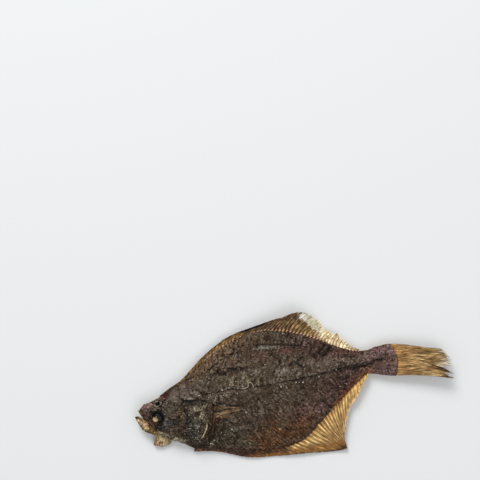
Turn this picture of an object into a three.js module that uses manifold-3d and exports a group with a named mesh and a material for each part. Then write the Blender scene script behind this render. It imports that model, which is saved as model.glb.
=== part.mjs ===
// A dried flounder: a whole flatfish, dried flat, lying on its blind side with the eyed side up.
// Millimetres. +X runs from the mouth to the tail, +Y towards the back fin, +Z up.
// The fish is laid out about its backbone line, and then moved so that the origin is on the
// surface it lies on, under the middle of its outline.
import * as THREE from "three";
import { mergeVertices } from "three/addons/utils/BufferGeometryUtils.js";
import Module from "manifold-3d";

const wasm = await Module();
wasm.setup();

// ---- Driving dimensions ----

const noseX = -117;
const tailRootX = 79.5;
const backboneY = 6.63; // from the middle of the outline to the backbone
const edgeHeight = 3.0; // how high the rim of the body stands, where the fins grow
const edgeWave = { height: 0.5, length: 13 }; // the dried rim is a little wavy
const tailLift = { height: 6.5, from: 30, over: 95 }; // the tail curls up off the surface
const headLift = { height: 1.6, from: -80, over: 40 };

// The body without fins, from nose to tail: x, back edge, middle, belly edge, thickness.
const bodyStations = [
  [-117, -0.5, -4.0, -6.5, 6.0],
  [-108, 1.8, -8.5, -20.0, 9.2],
  [-99, 3.6, -11.5, -28.3, 10.4],
  [-90, 7.2, -12.0, -32.0, 10.8],
  [-81, 12.0, -10.0, -38.6, 10.8],
  [-65, 23.3, -5.0, -42.3, 10.2],
  [-48, 32.7, -1.0, -47.6, 9.6],
  [-24, 39.6, 0.0, -52.6, 9.2],
  [0, 36.6, 0.0, -46.6, 8.8],
  [20, 28.3, 0.0, -33.0, 8.2],
  [40, 16.0, 0.0, -19.9, 7.4],
  [57, 9.6, 0.5, -8.8, 6.6],
  [68, 11.2, 0.3, -10.6, 5.8],
  [79.5, 12.4, -0.5, -13.4, 4.8],
];
const [backEdgeColumn, middleColumn, bellyEdgeColumn, thicknessColumn] = [1, 2, 3, 4];

// Each fin is a row of rays. A row here is one place along it: root x, y, then tip x, y, z.
const backFinRows = [
  [-99, 3.0, -99.6, 4.4, 5.0],
  [-82, 10.8, -81.4, 13.8, 5.0],
  [-65, 22.6, -62.6, 27.8, 4.2],
  [-48, 32.0, -43.5, 38.3, 4.0],
  [-31, 37.4, -25.0, 42.4, 6.0],
  [-14, 39.2, 0.0, 46.2, 9.0],
  [1, 36.2, 16.6, 47.9, 9.5],
  [11, 32.6, 28.2, 39.4, 5.0],
  [21, 27.6, 31.0, 32.2, 2.5],
  [31, 21.8, 38.0, 26.2, 3.0],
  [41, 15.4, 44.6, 20.0, 5.0],
  [53, 10.6, 54.5, 11.2, 6.0],
];
const bellyFinRows = [
  [-80, -37.8, -82.0, -41.2, 2.4],
  [-66, -41.4, -65.0, -44.6, 1.6],
  [-48, -47.4, -43.5, -52.0, 1.2],
  [-28, -52.0, -20.0, -55.2, 1.2],
  [-13, -51.0, 3.0, -57.4, 1.6],
  [-2, -47.4, 24.0, -61.2, 1.4],
  [7, -42.0, 31.9, -60.6, 3.4],
  [16, -35.6, 31.8, -49.5, 7.0],
  [26, -28.4, 36.2, -36.5, 6.0],
  [37, -21.6, 43.4, -27.0, 5.5],
  [48, -13.4, 50.6, -17.6, 6.5],
  [57, -8.2, 58.6, -8.9, 6.5],
];
const backFin = { rows: backFinRows, rayCount: 52, outward: 1, sag: -0.6, meshRows: 2 };
const bellyFin = { rows: bellyFinRows, rayCount: 44, outward: -1, sag: 1.4, meshRows: 3 };
const finRay = { half: 0.95, tipShare: 0.55, skinShare: 0.42, skinReach: 0.95, rootInside: 3.4 };

// The tail fin narrows and droops towards its end. Its upper and lower edges:
const tailUpperEdge = [
  [72, 11.2],
  [86, 9.7],
  [100, 5.3],
  [118, -1.0],
];
const tailLowerEdge = [
  [72, -11.6],
  [88, -14.6],
  [103, -17.9],
  [119.5, -22.8],
];
// The rays have stuck together in bundles: each one's share of the width, and its end in x.
const tailBundles = [
  [0.0, 0.09, 119.6],
  [0.09, 0.21, 120.0],
  [0.21, 0.36, 118.6],
  [0.36, 0.52, 117.4],
  [0.52, 0.66, 118.9],
  [0.66, 0.8, 120.0],
  [0.8, 1.0, 117.6],
];
const tailFinStartX = 73;
const tailSplit = { from: 0.6, gap: 0.13, overlap: 0.05 }; // bundles part only near their tips
const tailRay = { rootHalf: 1.5, tipHalf: 0.8, edgeShare: 0.5, stagger: 0.5 };
const tailCup = { height: 1.6, turn: 5 };

// Bony plates of the head, drawn as arcs about a centre.
const gillCover = { x: -83, y: -16, radius: 21.5, step: 1.5, width: 2.4, fromX: -88, toY: 16 };
const gillSlit = { depth: 0.9, width: 1.5, behindEdge: 1.4 };
const cheekBone = { x: -103, y: -9, radius: 19.2, depth: 1.1, width: 1.7, fromX: -100 };
// Ridges and hollows along the trunk: where each lies across the body, from 0 to 1, its width
// as the same share, and its height.
const trunkRidges = {
  spine: { at: 0, width: 0.13, height: 1.0 },
  trough: { at: 0.5, width: 0.2, height: -1.0 },
  fold: { at: 0.71, width: 0.045, height: -0.8 },
};
const crownShape = { power: 2.6, fullness: 0.6 }; // a flat crown that falls off near the rim
const flatShare = 0.55; // how much of the blind side lies flat on the surface
// Soft places that dried hollow, below 0, or proud.
const swellings = [
  { x: -92, y: -13, wide: 6, deep: 6, height: -1.3 }, // the cheek
  { x: -75, y: -12, wide: 7, deep: 6, height: 0.9 }, // the boss of the gill cover
  { x: -80, y: 0.5, wide: 13, deep: 1.8, height: -0.9 }, // the crease along the head
  { x: -46, y: -30, wide: 13, deep: 9, height: -1.6 }, // the gut
  { x: -14, y: -36, wide: 16, deep: 9, height: 0.7 }, // the roe
];
const lowerEye = { x: -103.6, y: -9.6, radius: 4.4, proud: 0.7 };
const upperEye = { x: -102.3, y: -0.6, radius: 3.1, proud: 0.5 };
const eyelid = 1.1;
const eyeShape = { ballShare: 0.82, flat: 0.6, domeBeyond: 1.6, domeProud: 0.6 };

// The breast fin lies folded back on the flank, its rays fanned from [x, y] to [x, y].
const breastFin = {
  rootTop: [-61.2, -11.0],
  rootBottom: [-63.0, -18.6],
  tipTop: [-36.0, -14.4],
  tipBottom: [-44.5, -21.4],
  rayCount: 6,
  rootHeight: 1.1,
  tipHeight: 0.55,
  buried: 1.0,
  skinShare: 0.35,
  skinReach: 0.9,
};
// The small throat fin of the blind side, folded forward under the jaw.
const throatFin = {
  root: [-101, -24, 4.4],
  tipZ: 2.2,
  spread: 9,
  reach: 11.4,
  rayCount: 4,
  firstAngle: -2.45,
  lastAngle: -1.5,
};

// Each rod of the mouth, as points: x, y, z, half width, half height.
const lowerJaw = [
  [-120.0, -6.9, 6.4, 1.2, 1.6],
  [-115.4, -12.0, 5.8, 3.0, 2.4],
  [-111.0, -16.8, 5.6, 4.2, 2.9],
  [-105.5, -21.5, 5.6, 4.2, 3.2],
  [-98.0, -26.2, 5.4, 2.2, 2.4],
];
const upperJaw = [
  [-115.8, -3.2, 6.6, 1.4, 1.9],
  [-113.4, -5.8, 7.0, 1.9, 2.2],
  [-110.2, -9.4, 7.6, 2.3, 2.2],
  [-108.0, -15.6, 7.6, 1.8, 1.8],
];
const snout = [
  [-116.4, -2.8, 6.4, 1.0, 1.6],
  [-112.0, -1.6, 6.6, 3.0, 2.6],
  [-105.0, -3.0, 7.6, 3.4, 2.6],
];

// ---- Helpers ----

const clamp01 = (t) => Math.min(1, Math.max(0, t));
const ease = (t) => clamp01(t) ** 2 * (3 - 2 * clamp01(t));
const mix = (a, b, t) => a + (b - a) * t;
const bell = (t) => Math.exp(-(t ** 2));

// A smooth function through [x, value] pairs, with the column of each row as the value.
function profile(rows, column = 1) {
  const slope = rows.map((row, i) => {
    const before = rows[Math.max(0, i - 1)];
    const after = rows[Math.min(rows.length - 1, i + 1)];
    return (after[column] - before[column]) / (after[0] - before[0]);
  });
  return (x) => {
    let i = 0;
    while (i < rows.length - 2 && x > rows[i + 1][0]) i += 1;
    const [here, next] = [rows[i], rows[i + 1]];
    const span = next[0] - here[0];
    const t = clamp01((x - here[0]) / span);
    const rise = ease(t);
    const lead = slope[i] * span * t * (1 - t) ** 2;
    const trail = slope[i + 1] * span * t * t * (t - 1);
    return mix(here[column], next[column], rise) + lead + trail;
  };
}

// A closed ball, reshaped: place(along, around) puts each point, both from 0 to 1.
function shapedBall(aroundCount, alongCount, place) {
  const ball = new THREE.SphereGeometry(1, aroundCount, alongCount);
  const position = ball.getAttribute("position");
  for (let i = 0; i < position.count; i += 1) {
    const row = Math.floor(i / (aroundCount + 1));
    const column = i % (aroundCount + 1);
    const p = place(row / alongCount, (column % aroundCount) / aroundCount);
    position.setXYZ(i, p.x, p.y, p.z);
  }
  return solidOf(ball);
}

// A thin closed sheet, reshaped: place(u, v, side) puts each point, with side 1 above, -1 below.
function shapedSheet(columns, rows, place) {
  const sheet = new THREE.BoxGeometry(1, 1, 1, columns, rows, 1);
  const position = sheet.getAttribute("position");
  for (let i = 0; i < position.count; i += 1) {
    const [u, v] = [position.getX(i) + 0.5, position.getY(i) + 0.5];
    const p = place(u, v, Math.sign(position.getZ(i)));
    position.setXYZ(i, p.x, p.y, p.z);
  }
  return solidOf(sheet);
}

// A tapering rod along points [x, y, z, half width, half height].
function rod(points) {
  const [aroundCount, alongCount, bluntness] = [8, 8, 6];
  const spine = points.map(([x, y, z]) => new THREE.Vector3(x, y, z));
  const middle = new THREE.CatmullRomCurve3(spine);
  const girths = points.map(([, , , wide, high], i) => [i, wide, high]);
  const [wide, high] = [profile(girths, 1), profile(girths, 2)];
  return shapedBall(aroundCount, alongCount, (along, around) => {
    const centre = middle.getPoint(along);
    const heading = middle.getTangent(along);
    const side = new THREE.Vector3(heading.y, -heading.x, 0).normalize();
    const station = along * (points.length - 1);
    const round = Math.sqrt(1 - Math.abs(2 * along - 1) ** bluntness);
    const angle = 2 * Math.PI * around;
    centre.addScaledVector(side, Math.cos(angle) * wide(station) * round);
    centre.z += Math.sin(angle) * high(station) * round;
    return centre;
  });
}

// A three.js geometry as a solid that can be joined to others, with its faces pointing out.
function solidOf(geometry) {
  const weld = 1e-4;
  geometry.deleteAttribute("normal");
  geometry.deleteAttribute("uv");
  const merged = mergeVertices(geometry, weld);
  const triVerts = new Uint32Array(merged.index.array);
  const vertProperties = merged.getAttribute("position").array;
  const made = () => new wasm.Manifold(new wasm.Mesh({ numProp: 3, vertProperties, triVerts }));
  const solid = made();
  if (solid.volume() > 0) return solid;
  for (let i = 0; i < triVerts.length; i += 3)
    [triVerts[i + 1], triVerts[i + 2]] = [triVerts[i + 2], triVerts[i + 1]];
  return made();
}

// ---- The surfaces of the body, as heights over the plan ----

const backEdge = profile(bodyStations, backEdgeColumn);
const middleLine = profile(bodyStations, middleColumn);
const bellyEdge = profile(bodyStations, bellyEdgeColumn);
const thickness = profile(bodyStations, thicknessColumn);

// How far across the body a point is: 0 on the middle line, 1 at the back edge, -1 at the belly.
function acrossBody(x, y) {
  const middle = middleLine(x);
  const edge = y > middle ? backEdge(x) : bellyEdge(x);
  const across = (y - middle) / Math.abs(edge - middle);
  return Math.max(-1, Math.min(1, across));
}

function lift(x) {
  const tail = tailLift.height * ease((x - tailLift.from) / tailLift.over);
  const head = headLift.height * ease((headLift.from - x) / headLift.over);
  return tail + head;
}

const rimHeight = (x) => edgeHeight + lift(x) + edgeWave.height * Math.sin(x / edgeWave.length);

// The gill cover is a raised plate that ends in a step and a slit along its edge.
function gillRelief(x, y) {
  const past = Math.hypot(x - gillCover.x, y - gillCover.y) - gillCover.radius;
  const inside = 1 - ease(past / gillCover.width + 0.5);
  const plate = gillCover.step * inside * ease((gillCover.toY - y) / 10);
  const slit = gillSlit.depth * bell((past - gillSlit.behindEdge) / gillSlit.width);
  return (plate - slit) * ease((x - gillCover.fromX) / 14);
}

// The cheek bone leaves an arched furrow.
function cheekRelief(x, y) {
  const past = Math.hypot(x - cheekBone.x, y - cheekBone.y) - cheekBone.radius;
  return -cheekBone.depth * bell(past / cheekBone.width) * ease((x - cheekBone.fromX) / 8);
}

function swellingRelief(x, y) {
  return swellings.reduce((sum, at) => {
    const far = Math.hypot((x - at.x) / at.wide, (y - at.y) / at.deep);
    return sum + at.height * bell(far);
  }, 0);
}

// Dried flesh stands up along the backbone, sinks on either side, and folds below the back fin.
function trunkRelief(x, across) {
  const ridge = ({ at, width, height }, place) => height * bell((place - at) / width);
  const spine = ridge(trunkRidges.spine, across);
  const trough = ridge(trunkRidges.trough, Math.abs(across));
  const fold = ridge(trunkRidges.fold, across);
  const trunkLength = ease((x + 66) / 14) * (1 - ease((x - 52) / 16));
  const foldLength = ease((x + 64) / 10) * (1 - ease((x - 2) / 16));
  return trunkLength * (spine + trough) + foldLength * fold;
}

function skinHeight(x, y) {
  const across = acrossBody(x, y);
  const crown = (1 - Math.abs(across) ** crownShape.power) ** crownShape.fullness;
  const smooth = mix(rimHeight(x), thickness(x) + lift(x), crown);
  const relief =
    gillRelief(x, y) + cheekRelief(x, y) + swellingRelief(x, y) + trunkRelief(x, across);
  const inward = ease((1 - Math.abs(across)) / 0.16);
  const clearOfEnds = ease((x - noseX) / 9) * ease((tailRootX - x) / 5);
  return smooth + relief * inward * clearOfEnds;
}

// The blind side is flat in the middle and rises to the rim.
function undersideHeight(x, y) {
  const outer = clamp01((Math.abs(acrossBody(x, y)) - flatShare) / (1 - flatShare));
  return mix(lift(x), rimHeight(x), outer ** 2);
}

// ---- The parts of the fish ----

// Stations are close together on the head, and the eyed side has more points than the blind one.
function body() {
  const [stations, around, upperShare] = [52, 40, 0.62];
  const [noseRound, tailRound] = [6, 2.5];
  const [crowding, crowded] = [1.9, 0.55];
  return shapedBall(around, stations, (along, turn) => {
    const x = mix(noseX, tailRootX, mix(along, along ** crowding, crowded));
    const fromEnd = Math.min(1, (x - noseX) / noseRound, (tailRootX - x) / tailRound);
    const closing = Math.sqrt(1 - (1 - Math.max(0, fromEnd)) ** 2);
    const isUpper = turn < upperShare;
    const halfTurn = isUpper ? turn / upperShare : (1 - turn) / (1 - upperShare);
    const across = mix(1 - 2 * halfTurn, Math.cos(Math.PI * halfTurn), 0.5);
    const middle = middleLine(x);
    const halfWidth = across > 0 ? backEdge(x) - middle : middle - bellyEdge(x);
    const y = middle + across * halfWidth;
    const height = isUpper ? skinHeight(x, y) : undersideHeight(x, y);
    return new THREE.Vector3(x, mix(middle, y, closing), mix(rimHeight(x), height, closing));
  });
}

// A fin along the body: each ray is a ridge, with thin skin between it and the next.
function rayedFin({ rows, rayCount, outward, sag, meshRows }) {
  const rootPoints = rows.map(([x, y]) => new THREE.Vector3(x, y, 0));
  const tipPoints = rows.map(([, , x, y, z]) => new THREE.Vector3(x, y, z));
  const roots = new THREE.CatmullRomCurve3(rootPoints);
  const tips = new THREE.CatmullRomCurve3(tipPoints);
  const columns = rayCount * 2;
  return shapedSheet(columns, meshRows, (u, v, side) => {
    const t = roots.getUtoTmapping(u);
    const root = roots.getPoint(t);
    root.z = rimHeight(root.x);
    const tip = tips.getPoint(t);
    const isRay = Math.round(u * columns) % 2 === 1;
    const point = root.clone().lerp(tip, isRay ? v : v * finRay.skinReach);
    point.y -= outward * finRay.rootInside * (1 - v) ** 3;
    point.z += sag * Math.sin(Math.PI * v) * ease(root.distanceTo(tip) / 20);
    const half = finRay.half * mix(1, finRay.tipShare, v) * (isRay ? 1 : finRay.skinShare);
    point.z += side * half;
    return point;
  });
}

function tailFin() {
  const [upperEdge, lowerEdge] = [profile(tailUpperEdge), profile(tailLowerEdge)];
  return tailBundles.map(([from, to, endX], index) =>
    shapedSheet(4, 6, (u, v, side) => {
      const x = mix(tailFinStartX, endX, v);
      const parted = ease((v - tailSplit.from) / (1 - tailSplit.from));
      const margin = mix(-tailSplit.overlap, tailSplit.gap, parted);
      const share = mix(from, to, mix(margin, 1 - margin, u));
      const arch = mix(tailRay.edgeShare, 1, 1 - (2 * u - 1) ** 2);
      const half = mix(tailRay.rootHalf, tailRay.tipHalf, v) * arch;
      const stagger = tailRay.stagger * (index % 2) * v;
      const cup = tailCup.height * Math.sin(share * tailCup.turn) * v;
      const y = mix(lowerEdge(x), upperEdge(x), share);
      return new THREE.Vector3(x, y, rimHeight(x) + stagger + cup + side * half);
    }),
  );
}

function foldedBreastFin() {
  const columns = breastFin.rayCount * 2;
  return shapedSheet(columns, 5, (u, v, side) => {
    const isRay = Math.round(u * columns) % 2 === 1;
    const reach = v * (isRay ? 1 : breastFin.skinReach);
    const along = (root, tip, i) => mix(breastFin[root][i], breastFin[tip][i], reach);
    const x = mix(along("rootTop", "tipTop", 0), along("rootBottom", "tipBottom", 0), u);
    const y = mix(along("rootTop", "tipTop", 1), along("rootBottom", "tipBottom", 1), u);
    const rayHeight = mix(breastFin.rootHeight, breastFin.tipHeight, v);
    const proud = isRay ? rayHeight : rayHeight * breastFin.skinShare;
    return new THREE.Vector3(x, y, skinHeight(x, y) + (side > 0 ? proud : -breastFin.buried));
  });
}

function foldedThroatFin() {
  const [rootX, rootY, rootZ] = throatFin.root;
  const columns = throatFin.rayCount * 2;
  return shapedSheet(columns, 4, (u, v, side) => {
    const isRay = Math.round(u * columns) % 2 === 1;
    const angle = mix(throatFin.firstAngle, throatFin.lastAngle, u);
    const reach = throatFin.reach * v * mix(1, 0.78, u) * (isRay ? 1 : 0.94);
    const fanX = rootX + throatFin.spread * (u - 0.35) * mix(1, 0.8, v);
    const half = mix(1.1, 0.5, v) * (isRay ? 1 : 0.5);
    return new THREE.Vector3(
      fanX + Math.cos(angle) * reach,
      rootY + Math.sin(angle) * reach * 0.9,
      mix(rootZ, throatFin.tipZ, v) + side * half,
    );
  });
}

// A dried eye: a flat dome with a rim of shrunken skin and the ball sunk in it.
function eye({ x, y, radius, proud }) {
  const rimZ = skinHeight(x, y) + proud;
  const { ballShare, flat, domeBeyond, domeProud } = eyeShape;
  const domeRadius = radius + domeBeyond;
  const dome = new THREE.SphereGeometry(domeRadius, 10, 6);
  dome.scale(1, 1, flat);
  dome.translate(x, y, rimZ + domeProud - domeRadius * flat);
  const rim = new THREE.TorusGeometry(radius, eyelid, 5, 12);
  rim.translate(x, y, rimZ);
  const ball = new THREE.SphereGeometry(radius * ballShare, 10, 6);
  ball.scale(1, 1, flat);
  ball.translate(x, y, rimZ);
  return [dome, rim, ball].map(solidOf);
}

// ---- The whole fish as one solid ----

const pieces = [
  body(),
  rayedFin(backFin),
  rayedFin(bellyFin),
  ...tailFin(),
  foldedBreastFin(),
  foldedThroatFin(),
  rod(lowerJaw),
  rod(upperJaw),
  rod(snout),
  ...eye(lowerEye),
  ...eye(upperEye),
];
const joined = pieces.reduce((sum, piece) => sum.add(piece));
// Joining seals small hollows between the rays. The outer skin alone has them filled.
const [whole] = joined.decompose().sort((a, b) => b.volume() - a.volume());

const { vertProperties, triVerts } = whole.getMesh();
const geometry = new THREE.BufferGeometry()
  .setAttribute("position", new THREE.BufferAttribute(vertProperties, 3))
  .setIndex(new THREE.BufferAttribute(triVerts, 1));
geometry.computeVertexNormals();

const driedSkin = new THREE.MeshStandardMaterial({
  color: 0x4a3d35,
  roughness: 0.75,
  metalness: 0,
});
const flounder = new THREE.Mesh(geometry, driedSkin);
flounder.name = "flounder";
flounder.position.y = backboneY;

const driedFlounder = new THREE.Group();
driedFlounder.add(flounder);

export default driedFlounder;
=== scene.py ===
import math

import bmesh
import bpy
import numpy as np
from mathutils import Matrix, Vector
from mathutils.bvhtree import BVHTree


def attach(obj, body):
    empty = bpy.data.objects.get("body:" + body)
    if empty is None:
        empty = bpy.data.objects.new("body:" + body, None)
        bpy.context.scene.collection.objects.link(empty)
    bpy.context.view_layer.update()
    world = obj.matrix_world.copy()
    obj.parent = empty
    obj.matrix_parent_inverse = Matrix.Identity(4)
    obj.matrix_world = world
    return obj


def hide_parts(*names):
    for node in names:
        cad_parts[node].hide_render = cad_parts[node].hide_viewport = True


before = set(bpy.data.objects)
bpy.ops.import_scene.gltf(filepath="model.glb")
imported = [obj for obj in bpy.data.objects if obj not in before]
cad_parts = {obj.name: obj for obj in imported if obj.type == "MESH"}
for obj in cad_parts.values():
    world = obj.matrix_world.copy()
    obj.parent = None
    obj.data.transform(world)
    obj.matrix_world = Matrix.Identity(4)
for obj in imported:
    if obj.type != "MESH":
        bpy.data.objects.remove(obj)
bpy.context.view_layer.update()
print("frame loaded")

# Sizes are in millimetres. The fish is laid out about its backbone and moved at the end,
# as in the solid: x from mouth to tail, y towards the back fin, z up out of the eyed side.
mm = 0.001
fish = {
    "noseX": -117.0,
    "tailRootX": 82.0,
    "backboneY": 6.63,
    "edgeHeight": 3.0,
    "edgeWave": (0.5, 13.0),  # how high, and how long
    "tailLift": (6.5, 30.0, 95.0),  # how high, from where, over what length
    "headLift": (1.6, -80.0, 40.0),
    "crown": (2.6, 0.6),  # the powers that round the eyed side from edge to edge
    "flatShare": 0.55,  # how much of the blind side lies flat
}

# x, back edge, middle, belly edge, thickness
bodyStations = [
    (-117, -0.5, -4.0, -6.5, 6.0),
    (-108, 1.6, -8.5, -20.0, 9.2),
    (-99, 4.4, -11.5, -28.3, 10.4),
    (-90, 8.5, -12.0, -32.6, 10.8),
    (-81, 12.4, -10.0, -38.6, 10.8),
    (-65, 23.3, -5.0, -42.3, 10.2),
    (-48, 32.7, -1.0, -47.6, 9.6),
    (-24, 39.6, 0.0, -51.0, 9.2),
    (0, 36.6, 0.0, -48.4, 8.8),
    (20, 28.3, 0.0, -34.3, 8.2),
    (40, 16.0, 0.0, -19.9, 7.4),
    (57, 9.6, 0.5, -8.8, 6.6),
    (68, 11.0, 0.3, -10.6, 5.8),
    (82, 11.2, -0.8, -13.8, 4.6),
]


def clamp(t):
    return np.clip(t, 0.0, 1.0)


def ease(t):
    t = clamp(t)
    return t * t * (3 - 2 * t)


def rise(value, start, over):  # from 0 at start to 1 when it is past by over
    return ease((value - start) / over)


def fall(value, start, over):
    return 1 - rise(value, start, over)


def mix(a, b, t):
    return a + (b - a) * t


def bell(t):
    return np.exp(-np.square(t))


# A smooth function through rows of x and values.
def profile(rows, column=1):
    places = np.array([row[0] for row in rows], float)
    values = np.array([row[column] for row in rows], float)
    before, after = np.arange(len(rows)) - 1, np.arange(len(rows)) + 1
    before[0], after[-1] = 0, len(rows) - 1
    slopes = (values[after] - values[before]) / (places[after] - places[before])

    def at(x):
        x = np.asarray(x, float)
        i = np.clip(np.searchsorted(places, x) - 1, 0, len(rows) - 2)
        span = places[i + 1] - places[i]
        t = clamp((x - places[i]) / span)
        lead = slopes[i] * span * t * (1 - t) ** 2
        trail = slopes[i + 1] * span * t * t * (t - 1)
        return mix(values[i], values[i + 1], ease(t)) + lead + trail

    return at


backEdge, middleLine, bellyEdge, thickness = [profile(bodyStations, i) for i in (1, 2, 3, 4)]


def across(x, y):  # 0 on the middle line, 1 at the back edge, -1 at the belly
    middle = middleLine(x)
    edge = np.where(y > middle, backEdge(x), bellyEdge(x))
    return np.clip((y - middle) / np.abs(edge - middle), -1, 1)


def lift(x):
    height, start, over = fish["tailLift"]
    headHeight, headStart, headOver = fish["headLift"]
    return height * ease((x - start) / over) + headHeight * ease((headStart - x) / headOver)


def rimHeight(x):
    height, length = fish["edgeWave"]
    return fish["edgeHeight"] + lift(x) + height * np.sin(x / length)


def hashed(cell, salt):  # a steady number from 0 to 1 for each whole place
    mixed = cell[:, 0] * 73856093 ^ cell[:, 1] * 19349663 ^ cell[:, 2] * 83492791
    mixed = mixed ^ (salt + 1) * 29986577
    mixed = ((mixed ^ (mixed >> 13)) * 1274126177) & 0xFFFFFFFF
    return ((mixed ^ (mixed >> 15)) & 0xFFFF) / 65535.0


def softNoise(points, size):  # from about -1 to 1
    spots = np.asarray(points, float) / size + 500.0
    base = np.floor(spots).astype(np.int64)
    part = spots - base
    fade = part**3 * (part * (part * 6 - 15) + 10)
    total = np.zeros(len(spots))
    for corner in np.ndindex(2, 2, 2):
        cell, toward = base + corner, part - corner
        weight = np.prod(np.where(corner, fade, 1 - fade), axis=1)
        total += weight * sum((hashed(cell, salt) * 2 - 1) * toward[:, salt] for salt in range(3))
    return 1.7 * total


def grain(points, size, octaves=3, rough=0.55):
    return sum(rough**i * softNoise(points + 17.3 * i, size / 2**i) for i in range(octaves))


def puffs(points, size, octaves=2, rough=0.5):  # rounded swellings with sharp creases between
    layers = [np.abs(softNoise(points + 31.7 * i, size / 2**i)) for i in range(octaves)]
    return sum(rough**i * (3 * layer - 0.75) for i, layer in enumerate(layers))


def cellEdges(points, size):  # 0 inside a cell, 1 where two cells meet
    spots = np.asarray(points, float) / size + 500.0
    base = np.floor(spots).astype(np.int64)
    base[:, 2] = 0
    nearest = np.full(len(spots), 9.0)
    second = nearest.copy()
    for corner in np.ndindex(3, 3):
        cell = base + [corner[0] - 1, corner[1] - 1, 0]
        far = np.hypot(*[cell[:, i] + hashed(cell, i) - spots[:, i] for i in (0, 1)])
        second = np.minimum(second, np.maximum(nearest, far))
        nearest = np.minimum(nearest, far)
    return clamp(1 - (second - nearest) * 3)


def lineDistance(path, x, y):  # how far points are from a drawn line, and how far along it
    path = np.array(path, float)
    best = np.full(np.shape(x), 1e9)
    along = np.zeros(np.shape(x))
    for i in range(len(path) - 1):
        start, step = path[i], path[i + 1] - path[i]
        t = clamp(((x - start[0]) * step[0] + (y - start[1]) * step[1]) / (step @ step))
        far = np.hypot(x - start[0] - t * step[0], y - start[1] - t * step[1])
        along = np.where(far < best, (i + t) / (len(path) - 1), along)
        best = np.minimum(far, best)
    return best, along


def patch(x, y, place, wide, deep, turn=0.0, ragged=0.0):
    c, s = math.cos(math.radians(turn)), math.sin(math.radians(turn))
    dx, dy = x - place[0], y - place[1]
    far = np.hypot((dx * c + dy * s) / wide, (dy * c - dx * s) / deep)
    return np.exp(-np.abs(far * (1 + ragged)) ** 3)


def colour(red, green, blue):  # from 0 to 255, as seen on a screen
    shares = [value / 255 for value in (red, green, blue)]
    return tuple(((c + 0.055) / 1.055) ** 2.4 if c > 0.04 else c / 12.92 for c in shares)


tints = {
    "skin": colour(73, 58, 45),
    "ash": colour(122, 114, 102),
    "ashOlive": colour(88, 79, 62),
    "headGrey": colour(99, 86, 78),
    "lilac": colour(112, 88, 88),
    "band": colour(104, 80, 60),
    "purple": colour(82, 59, 56),
    "maroon": colour(86, 44, 38),
    "reddish": colour(104, 62, 50),
    "tan": colour(140, 94, 54),
    "ginger": colour(92, 57, 27),
    "redBrown": colour(112, 52, 32),
    "soot": colour(42, 36, 27),
    "blackish": colour(28, 20, 15),
    "black": colour(12, 9, 8),
    "ink": colour(24, 19, 16),
    "green": colour(62, 60, 38),
    "olive": colour(58, 46, 22),
    "oliveSkin": colour(70, 60, 44),
    "pale": colour(176, 164, 138),
    "cream": colour(206, 190, 150),
    "red": colour(68, 18, 22),
    "mauve": colour(124, 100, 92),
    "pink": colour(160, 134, 124),
    "wine": colour(58, 24, 26),
    "moss": colour(32, 32, 20),
    "oxide": colour(106, 64, 38),
    "oxideDark": colour(44, 14, 8),
    "cheek": colour(89, 81, 68),
    "navy": colour(38, 39, 38),
    "indigo": colour(33, 27, 37),
    "teal": colour(54, 62, 58),
    "rust": colour(84, 62, 42),
    "umber": colour(58, 42, 26),
    "blind": colour(204, 178, 132),
    "blindDeep": colour(150, 104, 60),
    "straw": colour(230, 200, 136),
    "gold": colour(222, 176, 96),
    "goldGap": colour(136, 98, 44),
    "amber": colour(144, 100, 44),
    "ray": colour(182, 147, 97),
    "rayGap": colour(118, 88, 48),
    "paleRay": colour(214, 182, 132),
    "outerGap": colour(122, 92, 54),
    "lobeRay": colour(130, 101, 72),
    "lobeGap": colour(68, 47, 30),
    "oliveRay": colour(152, 126, 78),
    "oliveGap": colour(104, 80, 36),
    "edgeRay": colour(140, 108, 62),
    "edgeGap": colour(78, 50, 30),
    "rimRay": colour(112, 70, 42),
    "creamRay": colour(247, 230, 194),
    "rimDark": colour(56, 34, 20),
    "rose": colour(172, 120, 94),
    "bleached": colour(216, 214, 184),
    "white": colour(240, 238, 228),
    "tail": colour(168, 134, 82),
    "tailLight": colour(214, 186, 138),
    "tailGap": colour(92, 66, 32),
    "tailRoot": colour(176, 126, 76),
    "tailTip": colour(206, 192, 172),
    "jaw": colour(140, 106, 78),
    "jawGreen": colour(100, 86, 46),
    "lipGreen": colour(98, 98, 54),
    "jawPale": colour(192, 168, 128),
    "finBrown": colour(132, 107, 78),
}
tints = {name: np.array(tint) for name, tint in tints.items()}


class Coat:  # the colour of each point of a piece, laid on in coats
    def __init__(self, count, name):
        self.tone = np.tile(tints[name], (count, 1))

    def add(self, name, amount):
        amount = clamp(amount)[:, None]
        self.tone = self.tone + (tints[name] - self.tone) * amount

    def shade(self, factor):
        self.tone = self.tone * factor[:, None]

    def wearAndShade(self, amount):  # above 0 lighter and greyer, as real wear and as painted sheen on raised skin; below 0 darker and warmer, as real dark skin and as painted shade in hollows
        amount = amount[:, None]
        hollow, wearAndShading = amount * [1.0, 1.17, 1.45], amount * [1.0, 1.1, 1.22]
        self.tone = self.tone * np.exp(np.where(amount < 0, hollow, wearAndShading))

    def dab(self, x, y, dabs, ragged=0.0):  # name, x, y, wide, deep, turn, amount
        for name, dabX, dabY, wide, deep, turn, amount in dabs:
            self.add(name, amount * patch(x, y, (dabX, dabY), wide, deep, turn, ragged))


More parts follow.
